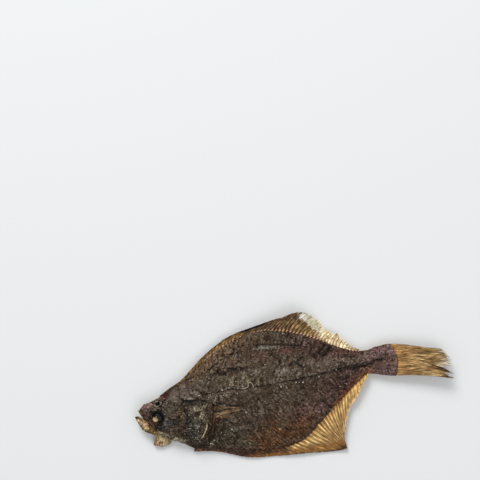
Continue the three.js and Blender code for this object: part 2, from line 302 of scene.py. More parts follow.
skin = {
    "around": 252,
    "along": 392,
    "upperShare": 0.76,  # how many of the points round the body lie on the eyed side
    "crowding": (1.6, 0.4),  # how the points crowd towards the head
    "noseRound": 6.0,
    "tailRound": 1.6,
    "tailSkinCurve": 2.6,
    "gill": {"place": (-83, -16), "radius": 21.5, "step": 1.5, "width": 2.0},
    "slit": {"depth": 1.4, "width": 1.1, "behind": 1.5},
    "cheekBone": {"place": (-103, -9), "radius": 19.2, "depth": 1.2, "width": 1.5},
    "eyes": {  # place, radius, how flat the oval is, turn
        "lowerEye": ((-103.5, -9.9), 4.2, 1.0, 0),
        "upperEye": ((-101.6, -0.1), 2.5, 0.62, 8),
    },
    "slant": (-0.62, 0.46),  # how the streaks lean, below and above the middle
    "streaks": (1.5, 0.95),  # this and the next five are sizes of the fine relief
    "pucker": 6.5,
    "wrinkle": 2.3,
    "crinkle": 1.2,
    "pit": 1.6,
    "ribPitch": 3.2,
    "smoother": [  # how much smoother, then x, y, wide, deep
        (0.5, -80, 6, 15, 8),
        (0.4, -92, -6, 6, 6),
        (0.35, 36, 5.5, 24, 4.5),
        (0.45, -36, -10, 6, 4),
    ],
    "grit": [  # amount, x, y, wide, deep, turn, how ragged
        (0.2, -72.4, -10.4, 8.0, 6.8, 0, 1),
        (0.55, -58, -3.0, 7, 3.2, 0, 1),
        (0.42, -77, -24, 8, 8, 0, 0),
        (0.4, -84, -8, 3, 9, -10, 0),
        (0.3, -96, -19, 5, 4, 0, 0),
        (0.12, -55, -32, 22, 14, 0, 0),
        (0.22, -40, 2, 14, 7, 0, 0),
        (0.3, -97, 0, 7, 3, 0, 0),
    ],
    "freckles": (-71.4, -11.6),
    "swellings": [  # place, wide, deep, height
        ((-92, -13), 6, 6, -1.3),
        ((-75, -12), 7, 6, 0.9),
        ((-80, 0.5), 13, 1.8, -0.9),
        ((-46, -30), 13, 9, -1.6),
        ((-14, -36), 16, 9, 0.7),
        ((-58, -14), 3.5, 4.5, -1.1),
        ((-71, -17.5), 2.4, 1.6, -1.2),
        ((-59, -21), 2.2, 1.6, -0.8),
        ((40, 5.5), 26, 2.2, 0.5),
        ((45, -2.5), 26, 2.2, -0.6),
        ((-16, 27), 13, 1.8, 0.6),
    ],
}

# colour, amount, width, depth, wobble, then the places that the line runs through
skinLines = [
    ("black", 1.0, 0.52, 0.5, 0.35, [
        (-62.8, 2.1), (-57.9, 0), (-51.6, 1.1), (-44.8, 0.5), (-39, -1), (-26.8, -1.4),
        (-12.2, -1.1), (3, -1.8), (18.4, -1.3), (33.9, 0), (49.4, 1.2), (64.7, 1.3), (79.6, 0.5),
    ]),
    ("ash", 0.5, 0.4, -0.25, 0.35, [
        (-57.9, 1.0), (-44.8, 1.6), (-26.8, -0.3), (3, -0.7), (33.9, 1.1), (64.7, 2.3),
    ]),
    ("blackish", 0.9, 0.55, 0.6, 0.4, [
        (-63.4, 15.2), (-56.5, 19.2), (-51.4, 21.7), (-46.4, 24.2), (-41.6, 25.2), (-36.8, 26.2),
        (-27.7, 25.9),
    ]),
    ("blackish", 0.85, 0.7, 0.7, 0.5, [
        (-24, 29.2), (-14.2, 28.3), (-9.1, 27), (-3.1, 26.3), (4.1, 24), (13.8, 22.6),
    ]),
    ("black", 1.0, 0.85, 1.0, 0.8, [
        (-56.7, 14.3), (-54.5, 13.9), (-52.7, 15.1), (-51.7, 12.6), (-49.5, 11.6), (-47.7, 13.3),
        (-44.3, 15), (-40.5, 14.6), (-35.9, 14.9), (-34, 13),
    ]),
    ("blackish", 0.85, 0.6, 0.5, 0.3, [(10.1, 29.4), (8.6, 25.8), (6, 20.2)]),
    ("blackish", 0.85, 0.6, 0.5, 0.3, [(15.5, 29.9), (13.6, 25.7), (12.4, 21.3)]),
    ("black", 1.0, 0.9, 0.8, 0.3, [(30.6, 20.5), (28.2, 17.9), (25.4, 15.7), (23.5, 13.8)]),
    ("black", 1.0, 1.0, 0.9, 0.3, [(34.7, 18.2), (32.3, 15.6), (29.4, 12.7), (26.1, 11)]),
    ("black", 0.85, 0.7, 0.6, 1.2, [(-0.4, 8.9), (3.5, 10.6), (8.0, 12.0), (12.6, 14.1)]),
    ("black", 0.8, 0.6, 0.5, 0.9, [(4.5, 8.6), (7.5, 7.7), (10.8, 7.8)]),
    ("black", 0.85, 0.95, 0.5, 0.6, [
        (28, -0.6), (37.7, 0), (48.5, -1.2), (58.8, -0.9), (66, 0.9), (73, 1.1),
    ]),
    ("blackish", 0.8, 0.6, 0.5, 0.3, [(4.5, 34.3), (4, 30.6), (1.6, 31)]),
    ("blackish", 0.6, 0.6, 0.4, 0.3, [(-7.2, 32.7), (-7.6, 26.7)]),
    ("blackish", 0.6, 0.6, 0.4, 0.3, [(0.1, 31.3), (-2, 26.3)]),
    ("blackish", 0.7, 0.7, 0.5, 0.3, [(23.9, 23.7), (21.6, 19.5), (19.4, 16.1)]),
    ("blackish", 0.9, 0.6, 0.5, 0.3, [(17.7, 11.1), (21.9, 13.3)]),
    ("black", 0.9, 0.6, 0.6, 0.3, [(28.1, -18.1), (30.2, -23.4)]),
    ("black", 0.95, 0.6, 0.6, 0.3, [(23.2, -24), (26.1, -28.8)]),
    ("blackish", 0.7, 0.6, 0.5, 0.3, [(38.5, -12), (40.4, -17.7)]),
    ("blackish", 0.75, 0.6, 0.5, 0.4, [(39.6, -10.3), (35.2, -12.9), (30.4, -14.3)]),
    ("blackish", 0.7, 1.1, 0.4, 0.3, [(-35.2, 26.6), (-36, 22.2)]),
    ("headGrey", 0.6, 0.6, -0.3, 0.3, [(-35, 35.7), (-35.5, 29)]),
    # pale ridge line: partly the skin's own lighter streak and partly painted highlight on the
    # raised ridge
    ("ash", 0.45, 0.9, -0.5, 0.4, [(-22.8, 27.3), (-16.8, 26.9), (-9.4, 25.3), (-1.2, 24.3)]),
    ("blackish", 0.6, 0.7, 0.5, 0.4, [(44, -7), (38.3, -8.9), (32.3, -12.4), (25.7, -14.9)]),
    ("black", 0.9, 0.8, 0.9, 0.7, [
        (-83.9, 0.2), (-81.8, -1.1), (-77.5, -2.4), (-72.1, -2.3), (-67.8, -3.8), (-64.4, -6),
    ]),
    ("black", 0.9, 0.7, 0.8, 0.4, [(-63.2, -4), (-61.6, -7.3), (-60.7, -10.6), (-61.9, -14.9)]),
    ("black", 0.95, 0.7, 0.6, 0.2, [
        (-59.5, -7.2), (-55.1, -9), (-50.9, -10.9), (-48.1, -12.2), (-40, -13),
    ]),
    ("black", 0.85, 0.8, 0.6, 0.5, [
        (-62.4, -13.6), (-62.2, -18.4), (-63.8, -23.2), (-67.6, -28.6), (-71.6, -33.6),
    ]),
    ("ink", 0.8, 0.9, 0.6, 0.7, [
        (-80.4, -3.6), (-79.6, -8.2), (-81.2, -13.6), (-83.6, -19.4), (-87.0, -24.0),
    ]),
    ("ink", 0.7, 0.7, 0.5, 0.6, [(-97.4, -4.0), (-93.2, -1.6), (-88.0, -2.4), (-84.4, -5.8)]),
    ("oxideDark", 0.8, 0.8, 0.4, 0.5, [
        (-77, -39), (-66, -41.3), (-53.5, -44.2), (-41.8, -47.2), (-31.5, -49.5), (-21.9, -50.9),
        (-8, -48.6),
    ]),
    ("rose", 0.3, 0.5, -0.2, 0.3, [(79.0, 8.6), (80.4, 4.6), (80.6, 0), (79.4, -5.9), (77.6, -12)]),
]
trunkDabs = [  # colour, x, y, wide, deep, turn, amount
    ("band", -65.9, 18.0, 15.0, 4.4, 34, 0.75),
    ("band", -47.5, 28.6, 13.0, 4.6, 27, 0.75),
    ("band", -30.0, 33.6, 12.0, 3.6, 7, 0.6),
    ("ashOlive", -51.2, 6.7, 17.0, 5.5, 1, 0.7),
    ("ashOlive", -21.0, 6.8, 17.0, 5.5, -3, 0.5),
    ("headGrey", -78.8, 3.9, 13.5, 5.6, 8, 0.85),
    ("ash", -3.5, 4.5, 8.0, 3.4, -11, 0.4),
    # painted highlight along the raised ridge above the lateral line in the tail stalk
    ("ash", 35.1, 5.8, 24.0, 3.0, -2, 0.4),
    ("reddish", 44.0, 11.0, 22.0, 5.0, -1, 0.35),
    ("purple", 34.4, -14.3, 16.0, 8.0, 34, 0.7),
    ("purple", 20.4, 21.3, 17.0, 6.3, -26, 0.6),
    ("maroon", -1.0, 21.2, 4.8, 2.0, -11, 0.8),
    ("maroon", -19.5, 20.5, 3.2, 3.2, 0, 0.6),
    ("maroon", 9.0, -30.0, 12.0, 7.0, 36, 0.4),
    ("reddish", 66.0, -2.0, 17.0, 10.0, 0, 0.2),
    ("lilac", 69.0, 6.6, 17.0, 5.4, 3, 0.62),
    ("lilac", 71.0, -8.0, 13.0, 5.4, -3, 0.5),
    # more painted highlight on the same raised ridge
    ("ash", 44.0, 7.0, 20.0, 3.4, -2, 0.25),
    ("ink", -48.0, -28.0, 24.0, 12.0, -6, 0.32),
    ("ink", -79.0, -27.0, 12.0, 6.0, -11, 0.25),
    ("band", -44.0, 20.0, 20.0, 7.0, 12, 0.3),
    ("ginger", -25.7, -43.0, 15.5, 8.5, 9, 0.95),
    ("ginger", 0.2, -37.0, 20.5, 8.0, 31, 0.75),
    ("ginger", -13.0, -31.3, 11.5, 8.8, 19, 0.32),
    ("purple", 4.0, -27.0, 15.0, 8.0, 34, 0.4),
    ("redBrown", 40.6, -16.1, 12.0, 1.8, 37, 0.5),
    ("lilac", 20.1, -26.1, 6.0, 4.0, 40, 0.75),
    ("lilac", 27.0, -17.5, 6.0, 3.6, 30, 0.4),
    ("oliveSkin", -36.1, -9.9, 5.0, 3.4, -11, 0.7),
    ("soot", -57.0, -33.0, 15.5, 9.0, -11, 0.65),
    ("soot", -77.9, -36.3, 10.0, 4.0, -11, 0.7),
    ("soot", -44.7, -35.0, 3.0, 4.6, -11, 0.6),
    ("black", -35.7, -27.6, 3.0, 2.3, -36, 0.6),
    ("green", -44.4, -41.2, 6.3, 2.8, -11, 0.6),
    ("olive", -83.5, -38.2, 4.6, 2.6, -46, 0.85),
    # painted shadow below the raised ridge along the lateral line in the tail stalk
    ("blackish", 42.2, -1.6, 30.0, 1.8, -1, 0.3),
    ("black", 4.7, 11.3, 2.8, 1.0, 19, 0.95),
    ("black", 8.9, 7.4, 1.6, 0.9, -11, 0.9),
    ("black", 6.4, 9.6, 2.4, 1.6, -11, 0.7),
    ("blackish", 20.5, 13.6, 3.6, 2.5, -1, 0.6),
    ("blackish", -34.7, 21.2, 2.3, 2.3, -11, 0.6),
    ("blackish", -40.5, 14.0, 7.5, 1.3, -5, 0.6),
    # the same ridge: partly its own lighter streak and partly painted highlight
    ("ash", -16.2, 26.3, 5.4, 1.3, -6, 0.8),
    ("black", 21.3, -21.7, 1.3, 1.9, -20, 0.9),
    ("black", 25.6, -27.1, 1.4, 1.6, -30, 0.85),
    ("pale", 79.0, 9.6, 1.1, 0.8, -11, 0.6),
]
headDabs = [  # in the same order
    ("red", -95.8, 4.4, 4.6, 1.5, 28, 1.0),
    ("mauve", -110.3, -3.6, 3.4, 4.6, -11, 0.85),
    ("navy", -106.6, 0.6, 3.0, 1.9, 14, 0.8),
    ("ashOlive", -113.2, -1.8, 1.0, 2.6, 20, 0.8),
    ("wine", -108.9, -8.2, 2.4, 2.6, -11, 0.85),
    ("wine", -107.2, -5.2, 2.2, 1.2, -11, 0.8),
    ("ash", -103.4, -3.6, 4.2, 0.9, 4, 0.75),
    ("black", -97.6, 0.4, 3.2, 0.7, 34, 0.95),
    ("mauve", -97.6, 5.6, 4.4, 0.8, 28, 0.6),
    ("black", -103.4, -5.9, 5.0, 1.2, -8, 0.85),
    ("cheek", -91.8, -5.6, 6.4, 6.4, -11, 0.9),
    ("ash", -92.8, -6.6, 1.5, 1.5, 0, 0.45),
    ("navy", -94.2, -15.4, 6.8, 3.2, -11, 0.95),
    ("black", -89.4, -16.9, 1.9, 1.7, -11, 0.85),
    ("indigo", -101.0, -16.6, 4.6, 3.0, -1, 0.95),
    ("oxide", -107.2, -13.9, 3.0, 1.8, -26, 0.9),
    ("black", -106.4, -18.2, 1.8, 2.6, -26, 0.95),
    ("black", -104.0, -21.2, 1.2, 1.8, -20, 0.9),
    ("rust", -85.6, -12.6, 1.5, 9.5, -11, 0.75),
    ("rust", -87.4, -19.4, 1.8, 3.6, 1, 0.65),
    ("black", -81.7, -9.4, 1.2, 2.6, -1, 0.8),
    ("black", -83.0, -3.2, 1.0, 1.4, -11, 0.8),
    ("navy", -80.1, -17.3, 4.4, 5.4, -11, 0.85),
    ("navy", -79.4, -26.0, 7.6, 5.0, -11, 0.85),
    ("indigo", -84.0, -27.5, 5.0, 1.6, -11, 0.5),
    ("ink", -74.1, -4.9, 7.8, 1.6, -11, 0.7),
    ("black", -76.0, -2.6, 7.2, 1.0, -11, 0.9),
    ("pale", -76.6, -0.6, 2.4, 0.6, -8, 0.4),
    ("pale", -70.1, 0.6, 1.5, 0.6, -6, 0.4),
    ("black", -70.7, -17.2, 3.0, 1.4, 1, 0.97),
    ("black", -72.0, -19.8, 1.7, 1.9, -11, 0.9),
    ("teal", -75.8, -21.4, 2.6, 4.4, -11, 0.6),
    ("ash", -76.2, -20.6, 0.9, 3.4, 1, 0.6),
    ("umber", -65.6, -22.5, 3.0, 6.0, -29, 0.85),
    ("black", -65.4, -26.3, 4.4, 0.8, 37, 0.95),
    ("oxideDark", -58.9, -21.4, 2.5, 1.9, -11, 0.95),
    ("cream", -106.0, -21.9, 1.5, 1.1, -31, 0.9),
]
chinStrip = [(-106.4, -22.0), (-102.3, -24.4), (-97.5, -27.2), (-92.0, -30.1), (-85.7, -33.0)]


def gillRelief(x, y):
    gill, slit = skin["gill"], skin["slit"]
    past = np.hypot(x - gill["place"][0], y - gill["place"][1]) - gill["radius"]
    inside = 1 - ease(past / gill["width"] + 0.5)
    plate = gill["step"] * inside * ease((16 - y) / 10)
    cut = slit["depth"] * bell((past - slit["behind"]) / slit["width"])
    return (plate - cut) * rise(x, -88, 14)


def cheekRelief(x, y):
    bone = skin["cheekBone"]
    past = np.hypot(x - bone["place"][0], y - bone["place"][1]) - bone["radius"]
    behind = 0.5 * bell((past - 2.6) / 1.2)
    return (behind - bone["depth"] * bell(past / bone["width"])) * rise(x, -100, 8)


def trunkRelief(x, share):
    spine, trough = bell(share / 0.13), bell((np.abs(share) - 0.5) / 0.2)
    return rise(x, -66, 14) * fall(x, 52, 16) * (spine - trough)


def eyeDistance(name, x, y):
    (eyeX, eyeY), radius, flat, turn = skin["eyes"][name]
    c, s = math.cos(math.radians(turn)), math.sin(math.radians(turn))
    dx, dy = x - eyeX, y - eyeY
    return np.hypot(dx * c + dy * s, (dy * c - dx * s) / flat), radius


def eyeRelief(x, y):
    total = np.zeros(np.shape(x))
    for name in skin["eyes"]:
        far, radius = eyeDistance(name, x, y)
        mound = 0.9 * bell(far / (radius * 1.8))
        lid = 1.3 * bell((far - radius - 0.3) / 0.75)
        folds = 0.6 * bell((far - radius - 2.9) / 0.6) - 0.6 * bell((far - radius - 1.7) / 0.5)
        socket = -2.2 * (1 - ease((far - radius * 0.5) / (radius * 0.45)))
        behind = np.where(x > skin["eyes"][name][0][0], 1, 0.3)
        total = total + mound + lid + folds * behind + socket
    return total


def skinSurface(x, y):  # the height of the eyed side, without its fine relief
    share = across(x, y)
    power, fullness = fish["crown"]
    crown = (1 - np.abs(share) ** power) ** fullness
    smooth = mix(rimHeight(x), thickness(x) + lift(x), crown)
    swell = sum(height * bell(np.hypot((x - place[0]) / wide, (y - place[1]) / deep))
                for place, wide, deep, height in skin["swellings"])
    relief = gillRelief(x, y) + cheekRelief(x, y) + trunkRelief(x, share) + swell
    inward = ease((1 - np.abs(share)) / 0.16)
    clearOfEnds = ease((x - fish["noseX"]) / 9) * ease((fish["tailRootX"] - x) / 5)
    return smooth + relief * inward * clearOfEnds + eyeRelief(x, y) * clearOfEnds


def undersideSurface(x, y):
    outer = clamp((np.abs(across(x, y)) - fish["flatShare"]) / (1 - fish["flatShare"]))
    return mix(lift(x), rimHeight(x), outer**2)


# The skin has dried in streaks square to the body's edge, with crinkles, bumps and pits.
# The bones that carry the fins show as low ribs, with dark lines between them.
def fineRelief(x, y, share, points, head, frayed):
    slant = mix(*skin["slant"], rise(share, -0.2, 0.4))
    skewed = np.stack([x - y * slant, 0.3 * y, np.zeros(len(x))], 1)
    coarse, close = skin["streaks"]
    streak = (softNoise(skewed, coarse) + 0.7 * softNoise(skewed + 40.0, close)) * (1 - 0.7 * head)
    pucker = puffs(points * [0.7, 1, 1], skin["pucker"])
    wrinkle = puffs(points * [0.9, 1, 1], skin["wrinkle"])
    crinkle = puffs(points + 60.0, skin["crinkle"])
    pits = rise(grain(points + 90.0, skin["pit"], 2), 0.36, 0.22)
    height = mix(0.3, 0.42, head) * pucker + mix(0.28, 0.4, head) * wrinkle + 0.14 * crinkle
    height = height + 0.16 * streak - 0.35 * pits

    ribs = np.sin((x - y * slant) * 2 * math.pi / skin["ribPitch"] + 1.8 * softNoise(points, 9.0))
    band = rise(np.abs(share), 0.45, 0.25) * rise(x, -72, 20) * fall(x, 62, 8)
    band = band * ease(0.55 + 1.3 * softNoise(points, 8.0))
    hatch = ease((-ribs - 0.7) / 0.22) * band * ease(0.5 + 1.6 * frayed)
    height = height + 0.1 * ribs * band - 0.3 * hatch

    uneven = 0.7 + 0.75 * ease(0.5 + 1.4 * softNoise(points + 33.0, 11.0))  # smooth and rough parts
    for amount, placeX, placeY, wide, deep in skin["smoother"]:
        uneven = uneven * (1 - amount * patch(x, y, (placeX, placeY), wide, deep))
    # The third value follows the relief: lighter where streaks, wrinkles, crinkles and puckers
    # rise, as painted sheen, and darker in the pits, as painted shade; a slow real mottle is added.
    wearAndShading = mix(0.6, 0.3, head) * streak + mix(0.3, 0.4, head) * wrinkle + 0.5 * crinkle - 1.2 * pits
    wearAndShading = 1.12 * wearAndShading * uneven + mix(0.12, 0.4, head) * pucker
    wearAndShading = wearAndShading + 0.32 * grain(points + 20.0, 9.0, 2)
    return height, hatch, wearAndShading


def dressEyeRims(coat, x, y):
    lower, lowerRadius = eyeDistance("lowerEye", x, y)
    above, aboveRadius = eyeDistance("upperEye", x, y)
    (eyeX, eyeY), behind = skin["eyes"]["lowerEye"][0], rise(x, -103, 3)
    coat.add("moss", 0.95 * fall(lower, lowerRadius + 0.4, 1.2) * mix(0.6, 1, rise(x, -106, 4)))
    past = 0.62 * (y - eyeY) + 0.78 * (x - eyeX)
    coat.add("black", 0.9 * bell((lower - lowerRadius + 0.2) / 1.3) * rise(past, -2.2, 2.5))
    for ring, amount in ((1.9, 0.6), (3.3, 0.45)):
        coat.add("ash", amount * bell((lower - lowerRadius - ring) / 0.45) * behind)
        coat.add("blackish", amount * bell((lower - lowerRadius - ring - 0.8) / 0.4) * behind)
    coat.add("black", 0.85 * bell((lower - lowerRadius - 0.9) / 0.6) * rise(y, -9, 3))
    coat.add("ash", 0.9 * bell((above - aboveRadius * 0.95) / 0.65))
    # painted shadow: a black arc round the upper eye on the tail side
    coat.add("black", 0.9 * bell((above - aboveRadius - 1.4) / 0.6) * rise(x, -102, 2))
    coat.add("black", fall(above, 0.5, 0.5))


# The fine relief of the eyed side and its colours.
def dressSkin(x, y, share, points):
    head, rear = fall(x, -72, 12), rise(x, 12, 30)
    upper = (share > 0) * 1.0
    middle = middleLine(x)
    width = np.where(share > 0, backEdge(x) - middle, middle - bellyEdge(x))
    fromEdge = (1 - np.abs(share)) * width
    coat = Coat(len(x), "skin")
    raggedness = 0.7 * grain(points, 2.6, 2)
    patchy = clamp(0.5 + 1.2 * grain(points + 12.0, 3.4))
    frayed = softNoise(points + 5.0, 3.2)
    height, hatch, wearAndShading = fineRelief(x, y, share, points, head, frayed)

    coat.dab(x, y, trunkDabs, raggedness)
    cool = ease(0.5 + 1.6 * grain(points, 8.0, 2))
    coat.add("ash", 0.14 * cool * (1 - rear))
    coat.add("purple", (0.3 * (1 - cool) + 0.12) * rear)
    coat.add("reddish", 0.55 * patchy * upper * bell(fromEdge / 3.2) * rise(x, 6, 8))
    lowEdge = (1 - upper) * rise(x, 22, 9) * fall(x, 60, 6)
    coat.add("redBrown", 0.32 * lowEdge * bell(fromEdge / 5.2) * mix(0.6, 1, patchy))
    coat.add("tan", 0.95 * lowEdge * bell(fromEdge / 2.6) * mix(0.7, 1, patchy))
    bellyRim = 0.6 * (1 - upper) * bell(fromEdge / 0.9)
    coat.add("oxideDark", bellyRim * rise(x, -30, 20) * fall(x, 16, 12))
    coat.add("blackish", mix(0.45, 0.85, upper * rise(x, -40, 14)) * hatch)

    coat.dab(x, y, headDabs, raggedness)
    strip, along = lineDistance(chinStrip, x, y + 0.6 * softNoise(points, 3.0))
    netted = cellEdges(points + 3.0, 1.7)
    strip = fall(strip, 1.5, 1.6) * ease(along / 0.06)
    coat.add("pale", 0.8 * strip * mix(1, 0.4, along))
    coat.add("umber", 0.75 * strip * netted)
    height = height + strip * (0.35 - 0.5 * netted)

    freckled = patch(x, y, skin["freckles"], 5.4, 4.6, -11, raggedness)
    spots = cellEdges(points * [1, 1, 0], 1.9)
    coat.add("pale", 0.85 * freckled * ease((0.5 - spots) / 0.3) * ease(0.6 + 1.5 * frayed))
    coat.add("ink", 0.9 * freckled * rise(spots, 0.4, 0.3))
    height = height + 0.3 * freckled * (0.7 - spots)
    grit = np.zeros(len(x))
    for amount, gritX, gritY, wide, deep, turn, ragged in skin["grit"]:
        grit = grit + amount * patch(x, y, (gritX, gritY), wide, deep, turn, ragged * raggedness)
    grit = clamp(grit + 0.03) * rise(grain(points, 1.2, 2), 0.18, 0.2)
    coat.add("pale", 0.85 * grit)
    height = height + 0.3 * grit

    for name, amount, lineWidth, depth, wobble, path in skinLines:
        far, along = lineDistance(path, x, y + wobble * softNoise(points, 2.4))
        drawn = bell(far / (lineWidth * (1.05 + 0.4 * frayed))) * ease(1.05 + 1.3 * frayed)
        drawn = drawn * ease(along / 0.08) * ease((1 - along) / 0.08)
        coat.add(name, amount * drawn)
        height = height - depth * drawn
    dressEyeRims(coat, x, y)

    # The painted shade in hollows and painted sheen on raised skin go on last, with real wear;
    # weaker along the low edge, a little lighter on the back half and lighter towards the tail.
    wearAndShading = wearAndShading * (1 - 0.5 * lowEdge * bell(fromEdge / 4)) + 0.08 * upper * (1 - rear) * (1 - head)
    wearAndShading = wearAndShading - 0.07 * (1 + rear) + 0.42 * rise(x, 52, 9)
    coat.wearAndShade(np.clip(wearAndShading, -2.1, mix(0.85, 0.7, head)))
    return height, coat.tone


def dressBlindSide(x, y, share, points):
    coat = Coat(len(x), "blind")
    coat.add("blindDeep", 0.8 * ease(0.35 + 1.2 * grain(points, 9.0)))
    muscle = np.sin((x + np.abs(y) * 0.55) * 2 * math.pi / 4.4 + softNoise(points, 10.0))
    inBody = (1 - ease((np.abs(share) - 0.75) / 0.15)) * rise(x, -60, 12)
    coat.add("blindDeep", 0.45 * rise(muscle, 0.4, 0.6) * inBody)
    coat.add("redBrown", 0.5 * bell(share / 0.02) * rise(x, -62, 10))
    coat.add("band", 0.55 * patch(x, y, (-52, -22), 16, 12))
    coat.add("goldGap", 0.5 * ease((np.abs(share) - 0.8) / 0.2))
    coat.add("umber", 0.35 * fall(x, -96, 16))
    puff = puffs(points * [0.6, 1, 1], 4.0)
    coat.shade(np.exp(0.3 * puff))
    return 0.12 * muscle * inBody + 0.2 * puff, coat.tone


def moveVerts(verts, points):
    shift = np.array([0, fish["backboneY"], 0])
    for vert, point in zip(verts, (points + shift) * mm):
        vert.co = point


def finishPiece(bm, name, material, tone, smooth=True):
    bmesh.ops.recalc_face_normals(bm, faces=bm.faces[:])
    mesh = bpy.data.meshes.new(name)
    bm.to_mesh(mesh)
    bm.free()
    painted = np.ones((len(mesh.vertices), 4), np.float32)
    painted[:, :3] = tone
    mesh.attributes.new("tone", "FLOAT_COLOR", "POINT").data.foreach_set("color", painted.ravel())
    if smooth:
        mesh.shade_smooth()
    piece = bpy.data.objects.new(name, mesh)
    bpy.context.scene.collection.objects.link(piece)
    mesh.materials.append(material)
    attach(piece, "root")
    print(name, len(mesh.vertices), "points")
    return piece


# A closed ball whose points are placed by their share of the length and their turn about it.
def shapedBall(bm, aroundCount, alongCount, place):
    made = bmesh.ops.create_uvsphere(bm, u_segments=aroundCount, v_segments=alongCount, radius=1)
    unit = np.array([vert.co for vert in made["verts"]])
    along = np.arccos(np.clip(unit[:, 2], -1, 1)) / math.pi
    turn = np.mod(np.arctan2(unit[:, 1], unit[:, 0]) / (2 * math.pi) + 1e-6, 1.0)
    points, tone = place(along, turn)
    moveVerts(made["verts"], points)
    return tone


# A thin closed sheet. place(u, v, side) gives its points, with side 1 above and -1 below.
def shapedSheet(columns, rows, place):
    bm = bmesh.new()
    bm.loops.layers.uv.new("UVMap")
    bmesh.ops.create_grid(bm, x_segments=columns, y_segments=rows, size=0.5, calc_uvs=True)
    count = len(bm.verts)
    bmesh.ops.extrude_face_region(bm, geom=bm.faces[:], use_keep_orig=True)
    bm.verts.ensure_lookup_table()
    tones = []
    for side, verts in ((-1, bm.verts[:count]), (1, bm.verts[count:])):
        flat = np.array([vert.co for vert in verts]) + 0.5
        points, tone = place(flat[:, 0], flat[:, 1], side)
        moveVerts(verts, points)
        tones.append(tone)
    return bm, np.concatenate(tones)


def onBall(along, turn):  # the same places on a plain ball of radius 1
    angle, tilt = 2 * math.pi * turn, math.pi * along
    return np.stack([np.sin(tilt) * np.cos(angle), np.sin(tilt) * np.sin(angle), np.cos(tilt)], 1)


# A tapering rod with blunt ends along points of x, y, z, half width and half height.
def shapedRod(bm, points, dress, aroundCount, alongCount, roughness=0.0):
    numbered = [(i, *point) for i, point in enumerate(points)]
    curves = [profile(numbered, column) for column in range(1, 6)]

    def place(along, turn):
        station = along * (len(points) - 1)
        x, y, z, wide, high = [curve(station) for curve in curves]
        before, after = np.maximum(station - 0.05, 0), np.minimum(station + 0.05, len(points) - 1)
        headX, headY = curves[0](after) - curves[0](before), curves[1](after) - curves[1](before)
        length = np.maximum(np.hypot(headX, headY), 1e-9)
        rounded = np.sqrt(np.clip(1 - np.abs(2 * along - 1) ** 6, 0, 1))
        angle = 2 * math.pi * turn
        out = np.cos(angle) * wide * rounded
        up = np.sin(angle) * high * rounded
        made = np.stack([x + headY / length * out, y - headX / length * out, z + up], 1)
        centre = np.stack([x, y, z], 1)
        made = centre + (made - centre) * (1 + roughness * puffs(made, 2.2)[:, None])
        return made, dress(made, along, turn)

    return shapedBall(bm, aroundCount, alongCount, place)


class Wire:  # a socket that can be used in sums
    def __init__(self, paint, socket):
        self.paint, self.socket = paint, socket

    def sum(self, operation, first, second):
        return self.paint.node("ShaderNodeMath", {"operation": operation}, {0: first, 1: second})

    def __add__(self, other):
        return self.sum("ADD", self, other)

    def __sub__(self, other):
        return self.sum("SUBTRACT", self, other)

    def __rsub__(self, other):
        return self.sum("SUBTRACT", other, self)

    def __mul__(self, other):
        return self.sum("MULTIPLY", self, other)

    __radd__ = __add__
    __rmul__ = __mul__


class Paint:  # a material and its nodes
    def __init__(self, name, **constants):
        self.material = bpy.data.materials.new(name)
        self.material.use_nodes = True
        self.tree = self.material.node_tree
        self.shader = self.tree.nodes["Principled BSDF"]
        self.place = self.node("ShaderNodeTexCoord", {}, {}, "Object")
        for key, value in constants.items():
            self.shader.inputs[key.replace("_", " ")].default_value = value

    def node(self, kind, settings, inputs, output=0):
        made = self.tree.nodes.new(kind)
        for key, value in settings.items():
            setattr(made, key, value)
        for key, value in inputs.items():
            self.link(made.inputs[key], value)
        return Wire(self, made.outputs[output])

    def link(self, socket, value):
        if isinstance(value, Wire):
            self.tree.links.new(value.socket, socket)
        else:
            socket.default_value = value

    def tone(self):
        return self.node("ShaderNodeAttribute", {"attribute_name": "tone"}, {}, "Color")

    def noise(self, sizeMm, detail=3.0, stretch=(1, 1, 1), rough=0.6):
        place = self.node("ShaderNodeMapping", {}, {"Vector": self.place, "Scale": stretch})
        inputs = {"Vector": place, "Scale": 1 / (sizeMm * mm), "Detail": detail, "Roughness": rough}
        return self.node("ShaderNodeTexNoise", {}, inputs, "Fac")

    def streaks(self, acrossCount, alongCount, detail=3.0):  # streaks that run along the rays
        uv = self.node("ShaderNodeUVMap", {"uv_map": "UVMap"}, {})
        inputs = {"Vector": uv, "Scale": (acrossCount, alongCount, 1)}
        place = self.node("ShaderNodeMapping", {}, inputs)
        inputs = {"Vector": place, "Scale": 1.0, "Detail": detail}
        return self.node("ShaderNodeTexNoise", {}, inputs, "Fac")

    def cells(self, sizeMm):
        inputs = {"Vector": self.place, "Scale": 1 / (sizeMm * mm)}
        settings = {"feature": "DISTANCE_TO_EDGE"}
        return self.node("ShaderNodeTexVoronoi", settings, inputs, "Distance")

    def step(self, value, low, high, first=0.0, last=1.0):  # first below low, last above high
        inputs = {"Value": value, "From Min": low, "From Max": high}
        inputs.update({"To Min": first, "To Max": last})
        return self.node("ShaderNodeMapRange", {"interpolation_type": "SMOOTHSTEP"}, inputs)

    def blend(self, factor, first, second):
        inputs = {0: factor, 6: first, 7: second}
        return self.node("ShaderNodeMix", {"data_type": "RGBA"}, inputs, 2)

    def scaled(self, tone, factor):
        return self.node("ShaderNodeVectorMath", {"operation": "SCALE"}, {0: tone, "Scale": factor})

    def bump(self, height, distanceMm, strength=1.0):
        inputs = {"Height": height, "Distance": distanceMm * mm, "Strength": strength}
        return self.node("ShaderNodeBump", {}, inputs)

    def shade(self, tone, roughness, normal):
        for key, value in (("Base Color", tone), ("Roughness", roughness), ("Normal", normal)):
            self.link(self.shader.inputs[key], value)
        return self.material


